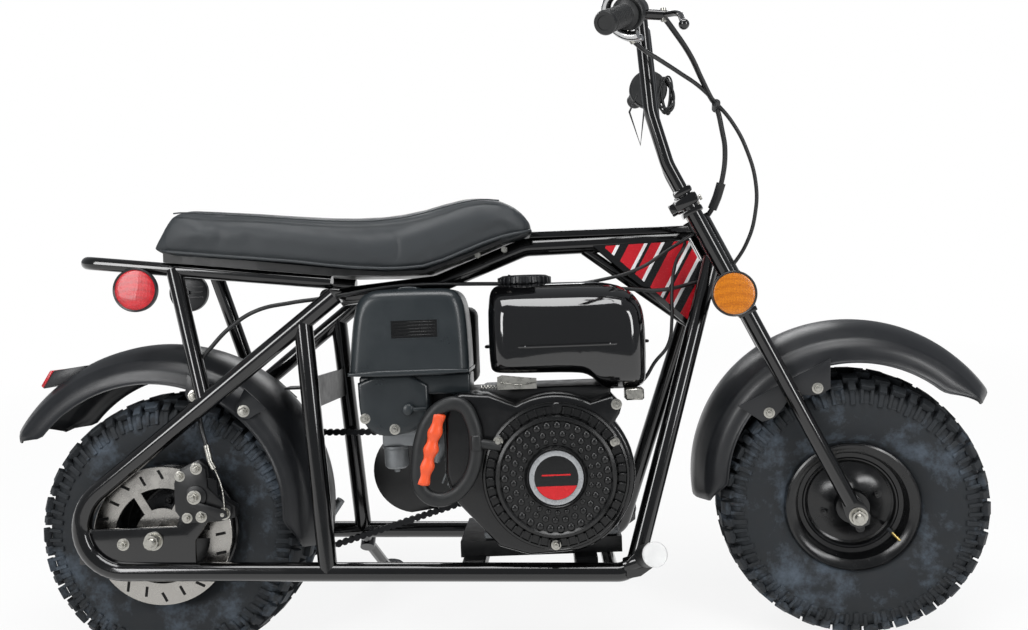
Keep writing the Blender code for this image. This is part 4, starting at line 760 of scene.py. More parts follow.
SEAT_STATIONS = (
    # ahead, bottom, top, half width
    (-0.008, 0.7395, 0.742, 0.104), (-0.003, 0.737, 0.7475, 0.114), (0.01, 0.735, 0.7665, 0.122),
    (0.023, 0.7325, 0.7875, 0.127), (0.0335, 0.73, 0.8025, 0.129), (0.042, 0.7285, 0.8075, 0.13),
    (0.055, 0.727, 0.8085, 0.131),
    (0.11, 0.7205, 0.8045, 0.132), (0.18, 0.713, 0.7985, 0.132), (0.25, 0.705, 0.7915, 0.131),
    (0.31, 0.696, 0.7865, 0.13), (0.355, 0.6905, 0.7845, 0.128), (0.4, 0.687, 0.7855, 0.124),
    (0.435, 0.6865, 0.7895, 0.12), (0.47, 0.6885, 0.7965, 0.116), (0.505, 0.6985, 0.8055, 0.112),
    (0.54, 0.7125, 0.813, 0.108), (0.575, 0.7265, 0.8165, 0.104), (0.605, 0.737, 0.813, 0.098),
    (0.63, 0.7435, 0.8025, 0.092), (0.648, 0.7475, 0.7885, 0.084), (0.658, 0.751, 0.7745, 0.074),
    (0.6625, 0.7545, 0.764, 0.064),
)
SEAT_SECTION = (
    # share of the half width, share of the height
    (0.0, 1.0), (0.3, 1.0), (0.55, 0.994), (0.74, 0.978), (0.86, 0.942), (0.93, 0.885), (0.968, 0.8),
    (0.988, 0.68), (0.998, 0.5), (1.0, 0.33), (0.996, 0.18), (0.985, 0.085), (0.968, 0.028), (0.94, 0.0),
)


def seat_form(shrink=0.0):
    """The seat's closed loft, drawn in by a given distance."""
    made = bmesh.new()
    rings = []
    for x, bottom, top, half in SEAT_STATIONS:
        tall, half = top - bottom - shrink, half - shrink
        ring = [(u * half, bottom + v * tall) for u, v in SEAT_SECTION]
        ring += [(0.6 * half, bottom), (0.0, bottom), (-0.6 * half, bottom)]
        ring += [(-y, z) for y, z in reversed(ring[1:len(SEAT_SECTION)])]
        rings.append([made.verts.new((x, y, z)) for y, z in ring])
    skin(made, rings)
    made.faces.new(rings[0])
    made.faces.new(rings[-1][::-1])
    bmesh.ops.recalc_face_normals(made, faces=made.faces)
    return made


SWELL_CAP = 0.0042
foam_mesh = bpy.data.meshes.new("seat_foam")
form = seat_form(0.0035)
form.to_mesh(foam_mesh)
form.free()
# The foam swells for twelve frames, and no point moves further than the cap.
foam = bpy.data.objects.new("seat_foam", foam_mesh)
bpy.context.scene.collection.objects.link(foam)
even = foam.modifiers.new("Even", "REMESH")
even.mode = "VOXEL"
even.voxel_size = 0.0065
foam.data = bpy.data.meshes.new_from_object(foam.evaluated_get(bpy.context.evaluated_depsgraph_get()))
foam.modifiers.clear()
at_rest = [v.co.copy() for v in foam.data.vertices]
swell = foam.modifiers.new("Swell", "CLOTH")
swell.settings.use_pressure = True
swell.settings.uniform_pressure_force = 4.0
swell.settings.effector_weights.gravity = 0.0
swell.collision_settings.use_collision = False
for step in range(1, 13):
    bpy.context.scene.frame_set(step)
foam_mesh = bpy.data.meshes.new_from_object(foam.evaluated_get(bpy.context.evaluated_depsgraph_get()))
bpy.context.scene.frame_set(1)
bpy.data.objects.remove(foam)
for vert, rest in zip(foam_mesh.vertices, at_rest):
    move = vert.co - rest
    if move.length > SWELL_CAP:
        vert.co = rest + move * (SWELL_CAP / move.length)
seat = bmesh.new()
seat.from_mesh(foam_mesh)
bmesh.ops.smooth_vert(seat, verts=seat.verts, factor=0.5, use_axis_x=True, use_axis_y=True, use_axis_z=True)
bmesh.ops.recalc_face_normals(seat, faces=seat.faces)
cover = piece("seat_cover", seat, seat_vinyl, stands_for="seat_cushion", crease=180, subdivide=1)


def seat_line(u, v, first=3, last=-3, lift=0.0):
    """Points along one side of the seat, at a share of its width and height."""
    return [(x, u * half, bottom + v * (top - bottom) + lift)
            for x, bottom, top, half in SEAT_STATIONS[first:last]]


# A welt runs along each upper edge and a rolled hem round the bottom, over a thin steel pan.
welts = []
for side in (-1, 1):
    welts.append(swept([(x, side * y, z) for x, y, z in seat_line(0.925, 0.892, 5, -4, 0.0008)], 0.0013, 2,
                       smooth_steps=4))
rim = seat_line(-0.972, 0.045, 3, -1)
hem = rim + [(x, -y, z) for x, y, z in reversed(rim)]
welts.append(swept(hem, 0.0026, 2, closed=True))
piece("seat_welts", together(*welts), seat_vinyl, crease=180)


# Reflectors
# Round moulded lenses in black plastic cups. The near ones face the viewer; the far ones show
# only their black backs, each with a short stud.

# Moulded acrylic over small prisms, so that the colour breaks up into cells.
lens_amber, tree, shader = new_material("amber_lens_plastic")
lens_look(tree, shader, ("a85a04", "d27d0c"), 2.632)


def round_reflector(name, centre, radius, side, lens, body):
    """A domed lens, its cup and the cup's rim, standing on edge and facing one side."""
    dome = [(radius * 0.9 * sin(radians(a)), side * (0.0035 + 0.0022 * cos(radians(a))))
            for a in range(0, 91, 10)]
    face = turned([*dome, (radius * 0.9, side * 0.001), (0, side * 0.001)], 56, centre)
    cup = turned(((0, -side * 0.006), (radius * 0.9, -side * 0.006), (radius * 0.985, -side * 0.0045),
                  (radius, side * 0.0005), (radius * 0.995, side * 0.0042), (radius * 0.955, side * 0.005),
                  (radius * 0.905, side * 0.0034), (radius * 0.905, side * 0.0012), (0, side * 0.0012)),
                 56, centre)
    ribs = [boxed(Vector(centre) + Vector((-radius * 0.8, -side * 0.0072 - 0.0006, r * 0.01 - 0.0007)),
                  Vector(centre) + Vector((radius * 0.8, -side * 0.0072 + 0.0012, r * 0.01 + 0.0007)))
            for r in (-1, 0, 1)]
    stud = hoop(0, 0.004, -side * 0.006, -side * 0.012, 16, centre)
    piece(name + "_lens", face, lens, body, stands_for=name)
    piece(name + "_cup", together(cup, *ribs, stud), moulded_plastic, body)


def middle(name):
    """The middle of a CAD node on the bike's own axes."""
    node_box = NODES[name]
    corners = [BIKE.inverted() @ node_box.matrix_world @ v.co for v in node_box.data.vertices]
    low = Vector(min(c[i] for c in corners) for i in range(3))
    high = Vector(max(c[i] for c in corners) for i in range(3))
    return (low + high) / 2


for side, label in SIDES:
    for end, lens, body, radius in (("rear", lens_red, "frame", 0.0385),
                                    ("front", lens_amber, "steering", 0.0395)):
        name = end + "_reflector_" + label
        round_reflector(name, tuple(middle(name)), radius, side, lens, body)


# Engine block
# Grey sand-cast aluminium: a finned cylinder that leans to the rear, a crankcase with its side
# cover, a base with feet, and the black cooling tin round the head.

# The sand leaves the castings a dull, pebbled grey. The paint on the tin is thin and satin.
cast_aluminium = finish("sand_cast_aluminium", ("6d7072", "8d9092"), 16.7, (0.42, 0.6), 0.35,
                        0.9, metal=0.75)
shadow_paint = finish("engine_black_paint", ("060607", "0e0f10"), 20.0, (0.3, 0.46), 0.15,
                      0.5)


def arc_points(centre, radius, start, end, steps):
    """Points of an arc from one angle to another, in degrees."""
    return [around(centre, radius, start + (end - start) * i / steps) for i in range(steps + 1)]


def softened(outline, rounds=2):
    """Cuts the corners of a closed outline again and again until it is round."""
    points = [Vector(p) for p in outline]
    for _ in range(rounds):
        cut = []
        for a, b in zip(points, points[1:] + points[:1]):
            cut += [a.lerp(b, 0.25), a.lerp(b, 0.75)]
        points = cut
    return points


def pillow(outline, low_y, high_y, near=0.02, far=0.02, steps=7):
    """A rounded body: an (x, z) outline, full in the middle and drawn in towards both faces."""
    low = Vector((min(p[0] for p in outline), min(p[1] for p in outline)))
    high = Vector((max(p[0] for p in outline), max(p[1] for p in outline)))
    centre, half = (low + high) / 2, (high - low) / 2
    levels = [(low_y + near * (1 - sin(pi / 2 * i / steps)), near * (1 - cos(pi / 2 * i / steps)))
              for i in range(steps, -1, -1)]
    levels += [(high_y - far * (1 - sin(pi / 2 * i / steps)), far * (1 - cos(pi / 2 * i / steps)))
               for i in range(steps + 1)]
    made = bmesh.new()
    rings = []
    for y, inset in levels:
        share = Vector((1 - inset / half.x, 1 - inset / half.y))
        rings.append([made.verts.new((centre.x + (p[0] - centre.x) * share.x, y,
                                      centre.y + (p[1] - centre.y) * share.y)) for p in outline])
    skin(made, rings)
    for ring in (rings[0], rings[-1]):
        middle_spot = sum((v.co for v in ring), Vector()) / len(ring)
        for share in (0.8, 0.6, 0.4, 0.2):
            inside = [made.verts.new(middle_spot.lerp(v.co, share / (share + 0.2))) for v in ring]
            skin(made, (ring, inside))
            ring = inside
        hub = made.verts.new(middle_spot)
        for i, a in enumerate(ring):
            made.faces.new((a, ring[(i + 1) % len(ring)], hub))
    bmesh.ops.remove_doubles(made, verts=made.verts, dist=0.02 * MM)
    bmesh.ops.recalc_face_normals(made, faces=made.faces)
    return made


CRANK = (0.688, 0.33)
CASE_BOLT_RING = 0.095
CYLINDER_TILT = radians(22)
FINS = 8
FIN_PITCH = 0.0095
along_cylinder = Matrix.Rotation(CYLINDER_TILT, 4, "Y")
TO_AHEAD = Matrix.Rotation(-pi / 2, 4, "Z")
cylinder = []
for i in range(FINS):
    middle_x = 0.4925 + i * FIN_PITCH
    fin = boxed((-0.0016, -0.086, -0.076), (0.0016, 0.064, 0.076), 0.0008, 1)
    spot = (middle_x + 0.022, 0, 0.352 + (0.56 - middle_x) * 0.4)
    fin.transform(Matrix.Translation(spot) @ along_cylinder)
    cylinder.append(fin)
core = hoop(0, 0.045, 0, 0.1, 36)
core.transform(Matrix.Translation((0.5, -0.01, 0.378)) @ along_cylinder @ TO_AHEAD)
cover_outline = softened(((-0.013, -0.05), (0.013, -0.05), (0.013, 0.05), (-0.013, 0.05)), 2)
valve_cover = pillow(cover_outline, -0.06, 0.042, 0.01, 0.01)
valve_cover.transform(Matrix.Translation((0.4905, 0, 0.386)) @ along_cylinder)
crankcase = boxed((0.562, -0.09, 0.218), (0.798, 0.056, 0.442), 0.012, 3)
feet = [boxed((x, -0.088, 0.2062), (x + 0.052, 0.066, 0.22), 0.003, 1) for x in (0.556, 0.742)]
side_cover = pillow(arc_points(CRANK, 0.104, 0, 350, 35), 0.05, 0.07, 0.004, 0.008, 4)
boss = turned(((0, 0.06), (0.034, 0.06), (0.032, 0.0702), (0.012, 0.0702), (0, 0.0702)), 36,
              (CRANK[0], 0, CRANK[1]))
ribs = [slab([(CRANK[0] + a * cos(t) - b * sin(t), CRANK[1] + a * sin(t) + b * cos(t))
              for a, b in ((0.028, -0.002), (0.096, -0.0015), (0.096, 0.0015), (0.028, 0.002))], 0.066,
             0.0708) for t in (pi / 6 + k * pi / 3 for k in range(6))]
piece("engine_castings", together(*cylinder, core, valve_cover, crankcase, *feet, side_cover, boss, *ribs),
      cast_aluminium, stands_for="engine_block")
bolts = [screw(*around(CRANK, CASE_BOLT_RING, a), 0.066, 1, 0.0052) for a in range(10, 311, 60)]
bolts += [screw(x, z, -0.09, -1, 0.005) for x, z in ((0.585, 0.455), (0.77, 0.43))]
piece("engine_case_bolts", together(*bolts), zinc_plate)

# Black pressed tin lies over the cylinder and under the tank. Above it is a zinc-plated plate
# with the throttle's rod, and the governor's spring.
tin = [boxed((0.556, -0.094, 0.44), (0.79, 0.056, 0.4735), 0.006, 2),
       boxed((0.51, -0.092, 0.43), (0.57, 0.06, 0.47), 0.008, 2)]
piece("engine_tin", together(*tin), shadow_paint)
control = [slab(((0.592, 0.474), (0.66, 0.474), (0.66, 0.492), (0.64, 0.494), (0.6, 0.499),
                 (0.592, 0.496)), -0.122, -0.12),
           swept(((0.598, -0.1235, 0.486), (0.63, -0.1235, 0.4815), (0.658, -0.1235, 0.485)), 0.0011, 1,
                 smooth_steps=6), boxed((0.812, -0.128, 0.448), (0.845, -0.1, 0.469), 0.003, 1)]
piece("throttle_plate", together(*control), zinc_plate)
coils = [(0.562 + 0.0009 * i + 0.0001 * (i % 2), -0.116 + 0.0032 * cos(i * pi / 3),
          0.479 + 0.0032 * sin(i * pi / 3)) for i in range(54)]
piece("governor_spring", swept(coils, 0.0006, 1), zinc_plate)


# Cooling shroud and recoil starter
# A pressed black shroud curls round the flywheel. The recoil cover has a ring of slots, three
# rings of round bumps and a plain badge disc: silver ring, black field and a red band.

# Stoved enamel, glossy and even, shows the pressing's soft edges as bright lines.
shroud_enamel = finish("shroud_black_enamel", ("050506", "0b0c0d"), 33.3, (0.16, 0.27),
                       0.12, 0.6)
SHROUD_OUTLINE = [(0.5, 0.34), (0.5, 0.44), (0.512, 0.466), (0.5302, 0.4734), (0.5753, 0.4706),
                  (0.6198, 0.4532), *arc_points(CRANK, 0.137, 118, 62, 10), (0.7895, 0.461),
                  (0.8045, 0.445), (0.7997, 0.4296), *arc_points(CRANK, 0.1345, 40, -75, 20),
                  (0.6386, 0.1954), (0.5882, 0.2113), (0.5096, 0.2989)]
shroud = pillow(SHROUD_OUTLINE, -0.16, -0.0945, 0.01, 0.001, 5)
piece("shroud_pressing", shroud, shroud_enamel, stands_for="engine_shroud", crease=50)

# Glass-filled nylon from a polished mould: each bump and rib holds a small bright point.
recoil_plastic = finish("recoil_black_plastic", ("040505", "0a0a0b"), 25.0, (0.2, 0.3),
                        0.08, 0.4)
HUB = (CRANK[0], 0.0, CRANK[1])
EAR_RING = 0.114
EAR_ANGLES = (146.5, 28.7, 267.7, 87.7)
COVER_SLOTS = 44
BUMP_RINGS = (
    # radius of the ring, how many bumps, radius of one bump
    (0.0865, 31, 0.0068), (0.0722, 27, 0.006), (0.06, 24, 0.005),
)
flange = turned(((0.1035, -0.159), (0.124, -0.159), (0.1245, -0.166), (0.1225, -0.17), (0.119, -0.1712),
                 (0.1175, -0.169), (0.1055, -0.169), (0.1045, -0.1735), (0.101, -0.179), (0.0965, -0.1805),
                 (0.0945, -0.179), (0.0925, -0.177), (0.0535, -0.177), (0.0515, -0.183), (0.0485, -0.1865),
                 (0.047, -0.185), (0.046, -0.183), (0, -0.183), (0, -0.159)), 96, HUB)
parts = [flange]
for k in range(COVER_SLOTS):
    turn = Matrix.Translation(HUB) @ spun(k / COVER_SLOTS)
    fin = boxed((0.105, -0.1765, -0.0019), (0.1175, -0.168, 0.0019), 0.0006, 1)
    fin.transform(turn)
    parts.append(fin)
for radius, count, size in BUMP_RINGS:
    for k in range(count):
        bump = bmesh.new()
        bmesh.ops.create_uvsphere(bump, u_segments=16, v_segments=9, radius=size)
        bmesh.ops.scale(bump, vec=(1, 0.62, 1), verts=bump.verts)
        angle = 2 * pi * (k + (radius > 0.08) * 0.5) / count
        spot = Vector((radius * cos(angle), -0.1768, radius * sin(angle)))
        bump.transform(Matrix.Translation(Vector(HUB) + spot))
        parts.append(bump)
for angle in EAR_ANGLES:
    x, z = around(CRANK, EAR_RING, angle)
    parts.append(turned(((0, -0.16), (0.0105, -0.16), (0.01, -0.173), (0.0085, -0.1742), (0, -0.1742)), 28,
                        (x, 0, z)))
piece("recoil_moulding", together(*parts), recoil_plastic, stands_for="recoil_cover")
bolts = [screw(*around(CRANK, EAR_RING, a), -0.174, -1, 0.0055) for a in EAR_ANGLES[:3]]
bolts.append(screw(0.794, 0.446, -0.16, -1, 0.0062))
piece("shroud_bolts", together(*bolts), zinc_plate)
# The badge is printed film: satin silver and a plain red, under one clear face.
badge_silver = finish("badge_silver_print", ("9a9c9e", "b4b6b8"), 11.1, (0.24, 0.32),
                      metal=0.5)
piece("badge_ring",
      turned(((0.0365, -0.1828), (0.0368, -0.1852), (0.04, -0.1858), (0.045, -0.1852), (0.0455, -0.1828)),
             72, HUB, True), badge_silver)
piece("badge_field", turned(((0, -0.1826), (0.0366, -0.1826), (0.0366, -0.1846), (0, -0.1849)), 64, HUB),
      shroud_enamel)
badge_red = finish("badge_red_print", ("b3141a", "c91d22"), 11.1, (0.22, 0.3))
band = arc_points(CRANK, 0.0362, 202, 338, 20)
bar = [(CRANK[0] + x, CRANK[1] + z)
       for x, z in ((-0.024, 0.0035), (0.024, 0.0035), (0.024, 0.006), (-0.024, 0.006))]
piece("badge_band", together(slab(band, -0.1853, -0.184), slab(bar, -0.1853, -0.184)), badge_red)


# Pull handle
# A closed rubbery loop with an orange finger grip clipped into it. Its neck goes into the
# recoil cover, where the starter rope is wound.

# Moulded rubber takes the light dully. The grip's hard plastic is smoother and saturated.
soft_black = finish("handle_black_rubber", ("0d0e0f", "17191a"), 16.7, (0.4, 0.55), 0.2, 0.4)
grip_orange = finish("grip_orange_plastic", ("d8481f", "ee5c2c"), 16.7, (0.34, 0.46), 0.1,
                     0.4)
HANDLE_Y = -0.176
LOOP = ((0.4585, 0.36), (0.465, 0.4), (0.479, 0.433), (0.506, 0.456), (0.533, 0.456), (0.55, 0.43),
        (0.556, 0.392), (0.55, 0.35), (0.533, 0.32), (0.508, 0.302), (0.485, 0.3), (0.466, 0.312),
        (0.458, 0.334))
loop = swept([(x, HANDLE_Y, z) for x, z in LOOP], 0.0122, 5, closed=True, smooth_steps=6)
bmesh.ops.scale(loop, vec=(1, 0.72, 1), verts=loop.verts, space=Matrix.Translation((0, -HANDLE_Y, 0)))
neck = swept(((0.556, HANDLE_Y, 0.392), (0.576, -0.1745, 0.388), (0.596, -0.17, 0.383)), 0.0085, 3,
             smooth_steps=5)
collar = boxed((0.548, -0.186, 0.378), (0.566, -0.169, 0.406), 0.004, 2)
piece("pull_loop", together(loop, neck, collar), soft_black, stands_for="pull_handle",
      crease=60)
GRIP_LOW, GRIP_HIGH = Vector((0.464, 0.325)), Vector((0.496, 0.443))
GRIP_OVAL = 0.42
length = (GRIP_HIGH - GRIP_LOW).length
profile = [(0.0, 0.0), (0.006, 0.0)]
for i in range(33):
    share = i / 32
    wave = cos(share * 8 * pi) * (0.3 + 0.7 * sin(share * pi))
    profile.append((0.0082 + 0.0016 * wave, 0.002 + share * (length - 0.004)))
profile += [(0.006, length), (0.0, length)]
grip = turned(profile, 28)
lean = math.atan2(GRIP_HIGH.x - GRIP_LOW.x, GRIP_HIGH.y - GRIP_LOW.y)
foot = Matrix.Translation((GRIP_LOW.x, HANDLE_Y - 0.0015, GRIP_LOW.y))
grip.transform(foot @ Matrix.Rotation(lean, 4, "Y") @ QUARTER)
# Its section is an oval: each point is drawn out along the bike, away from the grip's own axis.
tall = sorted(grip.verts, key=lambda v: v.co.z)
ends = [sum((v.co for v in part), Vector()) / len(part)
        for part in (tall[:len(tall) // 5], tall[-(len(tall) // 5):])]
for vert in grip.verts:
    share = (vert.co.z - ends[0].z) / (ends[1].z - ends[0].z)
    vert.co.x += GRIP_OVAL * (vert.co.x - ends[0].lerp(ends[1], share).x)
piece("pull_grip", grip, grip_orange, crease=60)


# Fuel tank
# Pressed and seam-welded from two halves, in deep black enamel, with a ribbed plastic cap.

# Enamel under a thick clear coat, the glossiest finish of the bike.
tank_enamel = finish("tank_black_enamel", ("050506", "0a0a0b"), 71.4, (0.05, 0.1), 0.03, 0.8,
                     coat=(0.8, 0.03))
TANK_OUTLINE = ((0.58, 0.515), (0.579, 0.57), (0.58, 0.63), (0.586, 0.652), (0.604, 0.6575), (0.7, 0.6585),
                (0.78, 0.6565), (0.824, 0.644), (0.847, 0.616), (0.853, 0.58), (0.852, 0.5), (0.85, 0.478),
                (0.84, 0.469), (0.822, 0.466), (0.776, 0.466), (0.754, 0.495), (0.72, 0.5), (0.604, 0.501),
                (0.585, 0.504))
SHOULDER_LOW = 0.586
FACE_BULGE = 0.014
TANK_MIDDLE, TANK_HALF = (0.716, 0.56), (0.137, 0.098)
SHOULDER_RADIUS = 0.073
TANK_PLANE = -0.023
tank = pillow(softened(TANK_OUTLINE, 2), -0.137, 0.091, 0.03, 0.03, 10)

# The shoulders lean in above their foot, the bottom draws in a little and the right face bulges.
for vert in tank.verts:
    rise = min(max((vert.co.z - SHOULDER_LOW) / SHOULDER_RADIUS, 0.0), 0.98)
    slope = 1 - math.sqrt(1 - rise * rise)
    fall = min(max((0.53 - vert.co.z) / 0.065, 0.0), 0.98)
    slope = slope * 0.58 + 0.16 * (1 - math.sqrt(1 - fall * fall))
    vert.co.y -= (vert.co.y - TANK_PLANE) * slope
    if vert.co.y < TANK_PLANE:
        along, up = (vert.co.x - TANK_MIDDLE[0]) / TANK_HALF[0], (vert.co.z - TANK_MIDDLE[1]) / TANK_HALF[1]
        vert.co.y -= FACE_BULGE * max(0.0, 1 - along * along) * max(0.0, 1 - up * up)
seam = slab(softened(((0.57, -0.156), (0.861, -0.156), (0.861, 0.099), (0.57, 0.099)), 1), 0.0, 0.0056,
            0.0026)
bmesh.ops.rotate(seam, verts=seam.verts, cent=(0, 0, 0), matrix=Matrix(((1, 0, 0), (0, 0, 1), (0, 1, 0))))
seam.transform(Matrix.Translation((0, 0, 0.545)))
bmesh.ops.recalc_face_normals(seam, faces=seam.faces)
piece("tank_shell", tank, tank_enamel, stands_for="fuel_tank", crease=180)
piece("tank_seam", seam, tank_enamel)

CAP = (0.643, -0.03)
CAP_RIBS = 26
cap_top = turned(((0, 0.674), (0.04, 0.6735), (0.0445, 0.6715), (0.0455, 0.669), (0.0455, 0.66),
                  (0.04, 0.654), (0, 0.654)), 64)
cap_ribs = []
for k in range(CAP_RIBS):
    rib = boxed((0.044, 0.6575, -0.0026), (0.049, 0.6705, 0.0026), 0.001, 1)
    rib.transform(spun(k / CAP_RIBS))
    cap_ribs.append(rib)
cap = together(cap_top, *cap_ribs)
cap.transform(Matrix.Translation((CAP[0], CAP[1], 0)) @ QUARTER)
piece("fuel_cap_moulding", cap, moulded_plastic, stands_for="fuel_cap")


# Air cleaner and carburettor
# A slate-black moulded box with a lip round its foot and a small louvre panel. Below it sit
# the black choke panel, the alloy carburettor bowl and a dark box of painted shade in the gap behind them.

# Polypropylene with a blue-grey cast, shinier than the fenders.
slate_plastic = finish("slate_black_plastic", ("1c2124", "262c2f"), 62.5, (0.26, 0.36),
                       0.08, 0.6)
CLEANER_FOOT = 0.514
CLEANER_OUTLINE = ((0.334, 0.47), (0.34, 0.54), (0.348, 0.61), (0.358, 0.64), (0.378, 0.653),
                   (0.41, 0.6545), (0.49, 0.654), (0.52, 0.652), (0.535, 0.64), (0.542, 0.61),
                   (0.545, 0.54), (0.545, 0.47))
cleaner = pillow(softened(CLEANER_OUTLINE, 2), -0.142, -0.02, 0.02, 0.02, 8)
foot = bmesh.ops.bisect_plane(cleaner, geom=cleaner.verts[:] + cleaner.edges[:] + cleaner.faces[:],
                              plane_co=(0, 0, CLEANER_FOOT), plane_no=(0, 0, -1), clear_outer=True)
bmesh.ops.holes_fill(cleaner, edges=[e for e in foot["geom_cut"] if isinstance(e, bmesh.types.BMEdge)])
bmesh.ops.recalc_face_normals(cleaner, faces=cleaner.faces)
lip = pillow(softened(((0.338, 0.505), (0.546, 0.505), (0.546, 0.516), (0.338, 0.516)), 1), -0.145, -0.016,
             0.004, 0.004, 3)
clip = pillow(softened(((0.424, 0.648), (0.424, 0.656), (0.432, 0.6585), (0.452, 0.6585), (0.46, 0.656),
                        (0.46, 0.648)), 1), -0.12, -0.05, 0.002, 0.002, 2)
PANEL_FRAME = ((0.413, 0.568, 0.496, 0.57), (0.413, 0.6, 0.496, 0.602), (0.413, 0.57, 0.415, 0.6),
               (0.494, 0.57, 0.496, 0.6))
frame_bar = [boxed((a, -0.1428, b), (c, -0.1405, d)) for a, b, c, d in PANEL_FRAME]
piece("air_cleaner_box", together(cleaner, lip, clip, *frame_bar), slate_plastic, stands_for="air_cleaner",
      crease=50)
louvres = [boxed((0.415, -0.1422, 0.57), (0.494, -0.1412, 0.6))]
louvres += [boxed((0.418, -0.143, z), (0.491, -0.1418, z + 0.0026), 0.0006, 1)
            for z in (0.573, 0.5785, 0.584, 0.5895, 0.595)]
piece("air_cleaner_louvres", together(*louvres), recoil_plastic)

PANEL = ((0.35, 0.506), (0.351, 0.46), (0.354, 0.434), (0.37, 0.408), (0.4, 0.399), (0.45, 0.408),
         (0.472, 0.43), (0.472, 0.506))
panel = pillow(softened(PANEL, 1), -0.126, -0.07, 0.006, 0.004, 4)
shelf = boxed((0.352, -0.118, 0.47), (0.545, -0.04, 0.505), 0.004, 2)
knob = turned(((0, -0.126), (0.01, -0.126), (0.01, -0.137), (0.008, -0.139), (0, -0.139)), 28,
              (0.438, 0, 0.447))
arm = boxed((0.428, -0.1375, 0.444), (0.47, -0.133, 0.45), 0.001, 1)
piece("choke_panel", together(panel, shelf, knob, arm), slate_plastic, stands_for="carburettor", crease=50)
bowl = turned(((0, 0), (0.016, 0), (0.0205, 0.004), (0.0215, 0.01), (0.0215, 0.034), (0.024, 0.036),
               (0.024, 0.04), (0, 0.04)), 40)
bowl.transform(Matrix.Translation((0.408, -0.088, 0.34)) @ QUARTER)
throat = hoop(0, 0.019, 0, 0.078, 32)
throat.transform(Matrix.Translation((0.405, -0.088, 0.405)) @ TO_AHEAD)
drain = hexagon(0.0055, 0, 0.01)
drain.transform(Matrix.Translation((0.408, -0.088, 0.333)) @ QUARTER)
body = boxed((0.386, -0.106, 0.379), (0.462, -0.064, 0.424), 0.006, 2)
# A dark box stands between the cleaner and the shroud. It is painted shade, dark where that gap lies in
# shadow.
block = boxed((0.43, -0.06, 0.395), (0.525, 0.02, 0.525), 0.01)
piece("painted_shade_block", block, moulded_plastic)
piece("carburettor_body", together(bowl, throat, drain, body), cast_aluminium)
bolts = [screw(0.362, 0.433, -0.125, -1, 0.006), screw(0.413, 0.413, -0.1265, -1, 0.0062)]
piece("choke_panel_screws", together(*bolts), zinc_plate)


# Frame tubes
# A loop of 32 mm tube on each side, its upright and axle plate, and the backbone with its
# gusset. The tubes are bent cold, so their corners are plain arcs.

TUBE = 0.016
SIDE_HALF = 0.145
TOP_HALF = 0.128
UPRIGHT = ((0.262, 0.1296, 0.604), (0.294, 0.145, 0.177))
AXLE_PLATE = ((-0.128, 0.205), (0.07, 0.196), (0.07, 0.238))
CALLIPER_TAB = ((0.112, 0.3), (0.11, 0.34), (0.1, 0.345), (0.062, 0.345))
PLATE_TOP = ((0.04, 0.264), (-0.12, 0.264), (-0.128, 0.256))


def bent(corners, radii, steps=16):
    """A path whose corners are arcs of the given radii."""
    corners = [Vector(c) for c in corners]
    path = [corners[0]]
    for before, corner, after, radius in zip(corners, corners[1:], corners[2:], radii):
        back, ahead = (before - corner).normalized(), (after - corner).normalized()
        half = back.angle(ahead) / 2
        centre = corner + (back + ahead).normalized() * (radius / sin(half))
        start = corner + back * (radius / math.tan(half)) - centre
        axis = start.cross(corner - centre).normalized()
        path += [centre + Quaternion(axis, (pi - 2 * half) * i / steps) @ start for i in range(steps + 1)]
    return [*path, corners[-1]]


def mirrored(points, side):
    """Points of the left side, on the given side."""
    return [(x, side * y, z) for x, y, z in points]


for side, label in SIDES:
    corners = ((0.318, TOP_HALF, 0.6474), (-0.262, SIDE_HALF, 0.198), (0.813, SIDE_HALF, 0.157),
               (0.987, 0.042, 0.692))
    shapes = [swept(bent(mirrored(corners, side), (0.077, 0.036)), TUBE, 10),
              swept(mirrored(UPRIGHT, side), TUBE, 10)]
    outline = [*AXLE_PLATE, *(CALLIPER_TAB if side < 0 else ()), *PLATE_TOP]
    shapes.append(slab(outline, side * SIDE_HALF - 0.003, side * SIDE_HALF + 0.003, 0.0012))
    if side > 0:
        shapes.append(swept([(0.293, SIDE_HALF, 0.177), (0.293, 0.173, 0.152)], 0.01, 6))
    piece("frame_tubes_" + label, together(*shapes), frame_enamel, stands_for="frame_side_" + label)

SPINE = ((0.3, 0.0, 0.6475), (0.48, 0.0, 0.664), (0.645, 0.0, 0.727), (0.9484, 0.0, 0.731))
GUSSET = ((0.77, 0.725), (0.952, 0.731), (0.986, 0.66), (0.975, 0.6), (0.952, 0.567), (0.938, 0.572))
SPINE_CAP = ((0.654, 0.743), (0.66, 0.755), (0.953, 0.756), (0.96, 0.743))
shapes = [swept(bent(SPINE, (0.06, 0.06)), TUBE + 0.001, 10),
          swept([(0.83, 0, 0.7), (0.997, 0, 0.628)], 0.0125, 8),
          swept([(0.3, -0.111, 0.6475), (0.3, 0.111, 0.6475)], 0.0125, 8),
          slab(SPINE_CAP, -0.014, 0.014, 0.002), slab(GUSSET, -0.019, 0.019, 0.003),
          swept([(0.756, 0, 0.718), (0.952, 0, 0.57)], 0.0095, 8)]
piece("backbone_tubes", together(*shapes), frame_enamel, stands_for="backbone")

RACK_TUBE = 0.0115
RACK = ((0.3065, -0.098, 0.6712), (-0.132, -0.098, 0.7222), (-0.132, 0.098, 0.7222),
        (0.3065, 0.098, 0.6712))
shapes = [swept(bent(RACK, (0.03, 0.03)), RACK_TUBE, 10)]
for side in (-1, 1):
    shapes.append(swept(mirrored(((0.03, 0.098, 0.7034), (0.089, 0.134, 0.476)), side), 0.0135, 8))
    shapes.append(swept(mirrored(((0.063, 0.0985, 0.498), (0.082, 0.1297, 0.498)), side), 0.006, 6))
piece("rack_tubes", together(*shapes), frame_enamel, stands_for="rack")

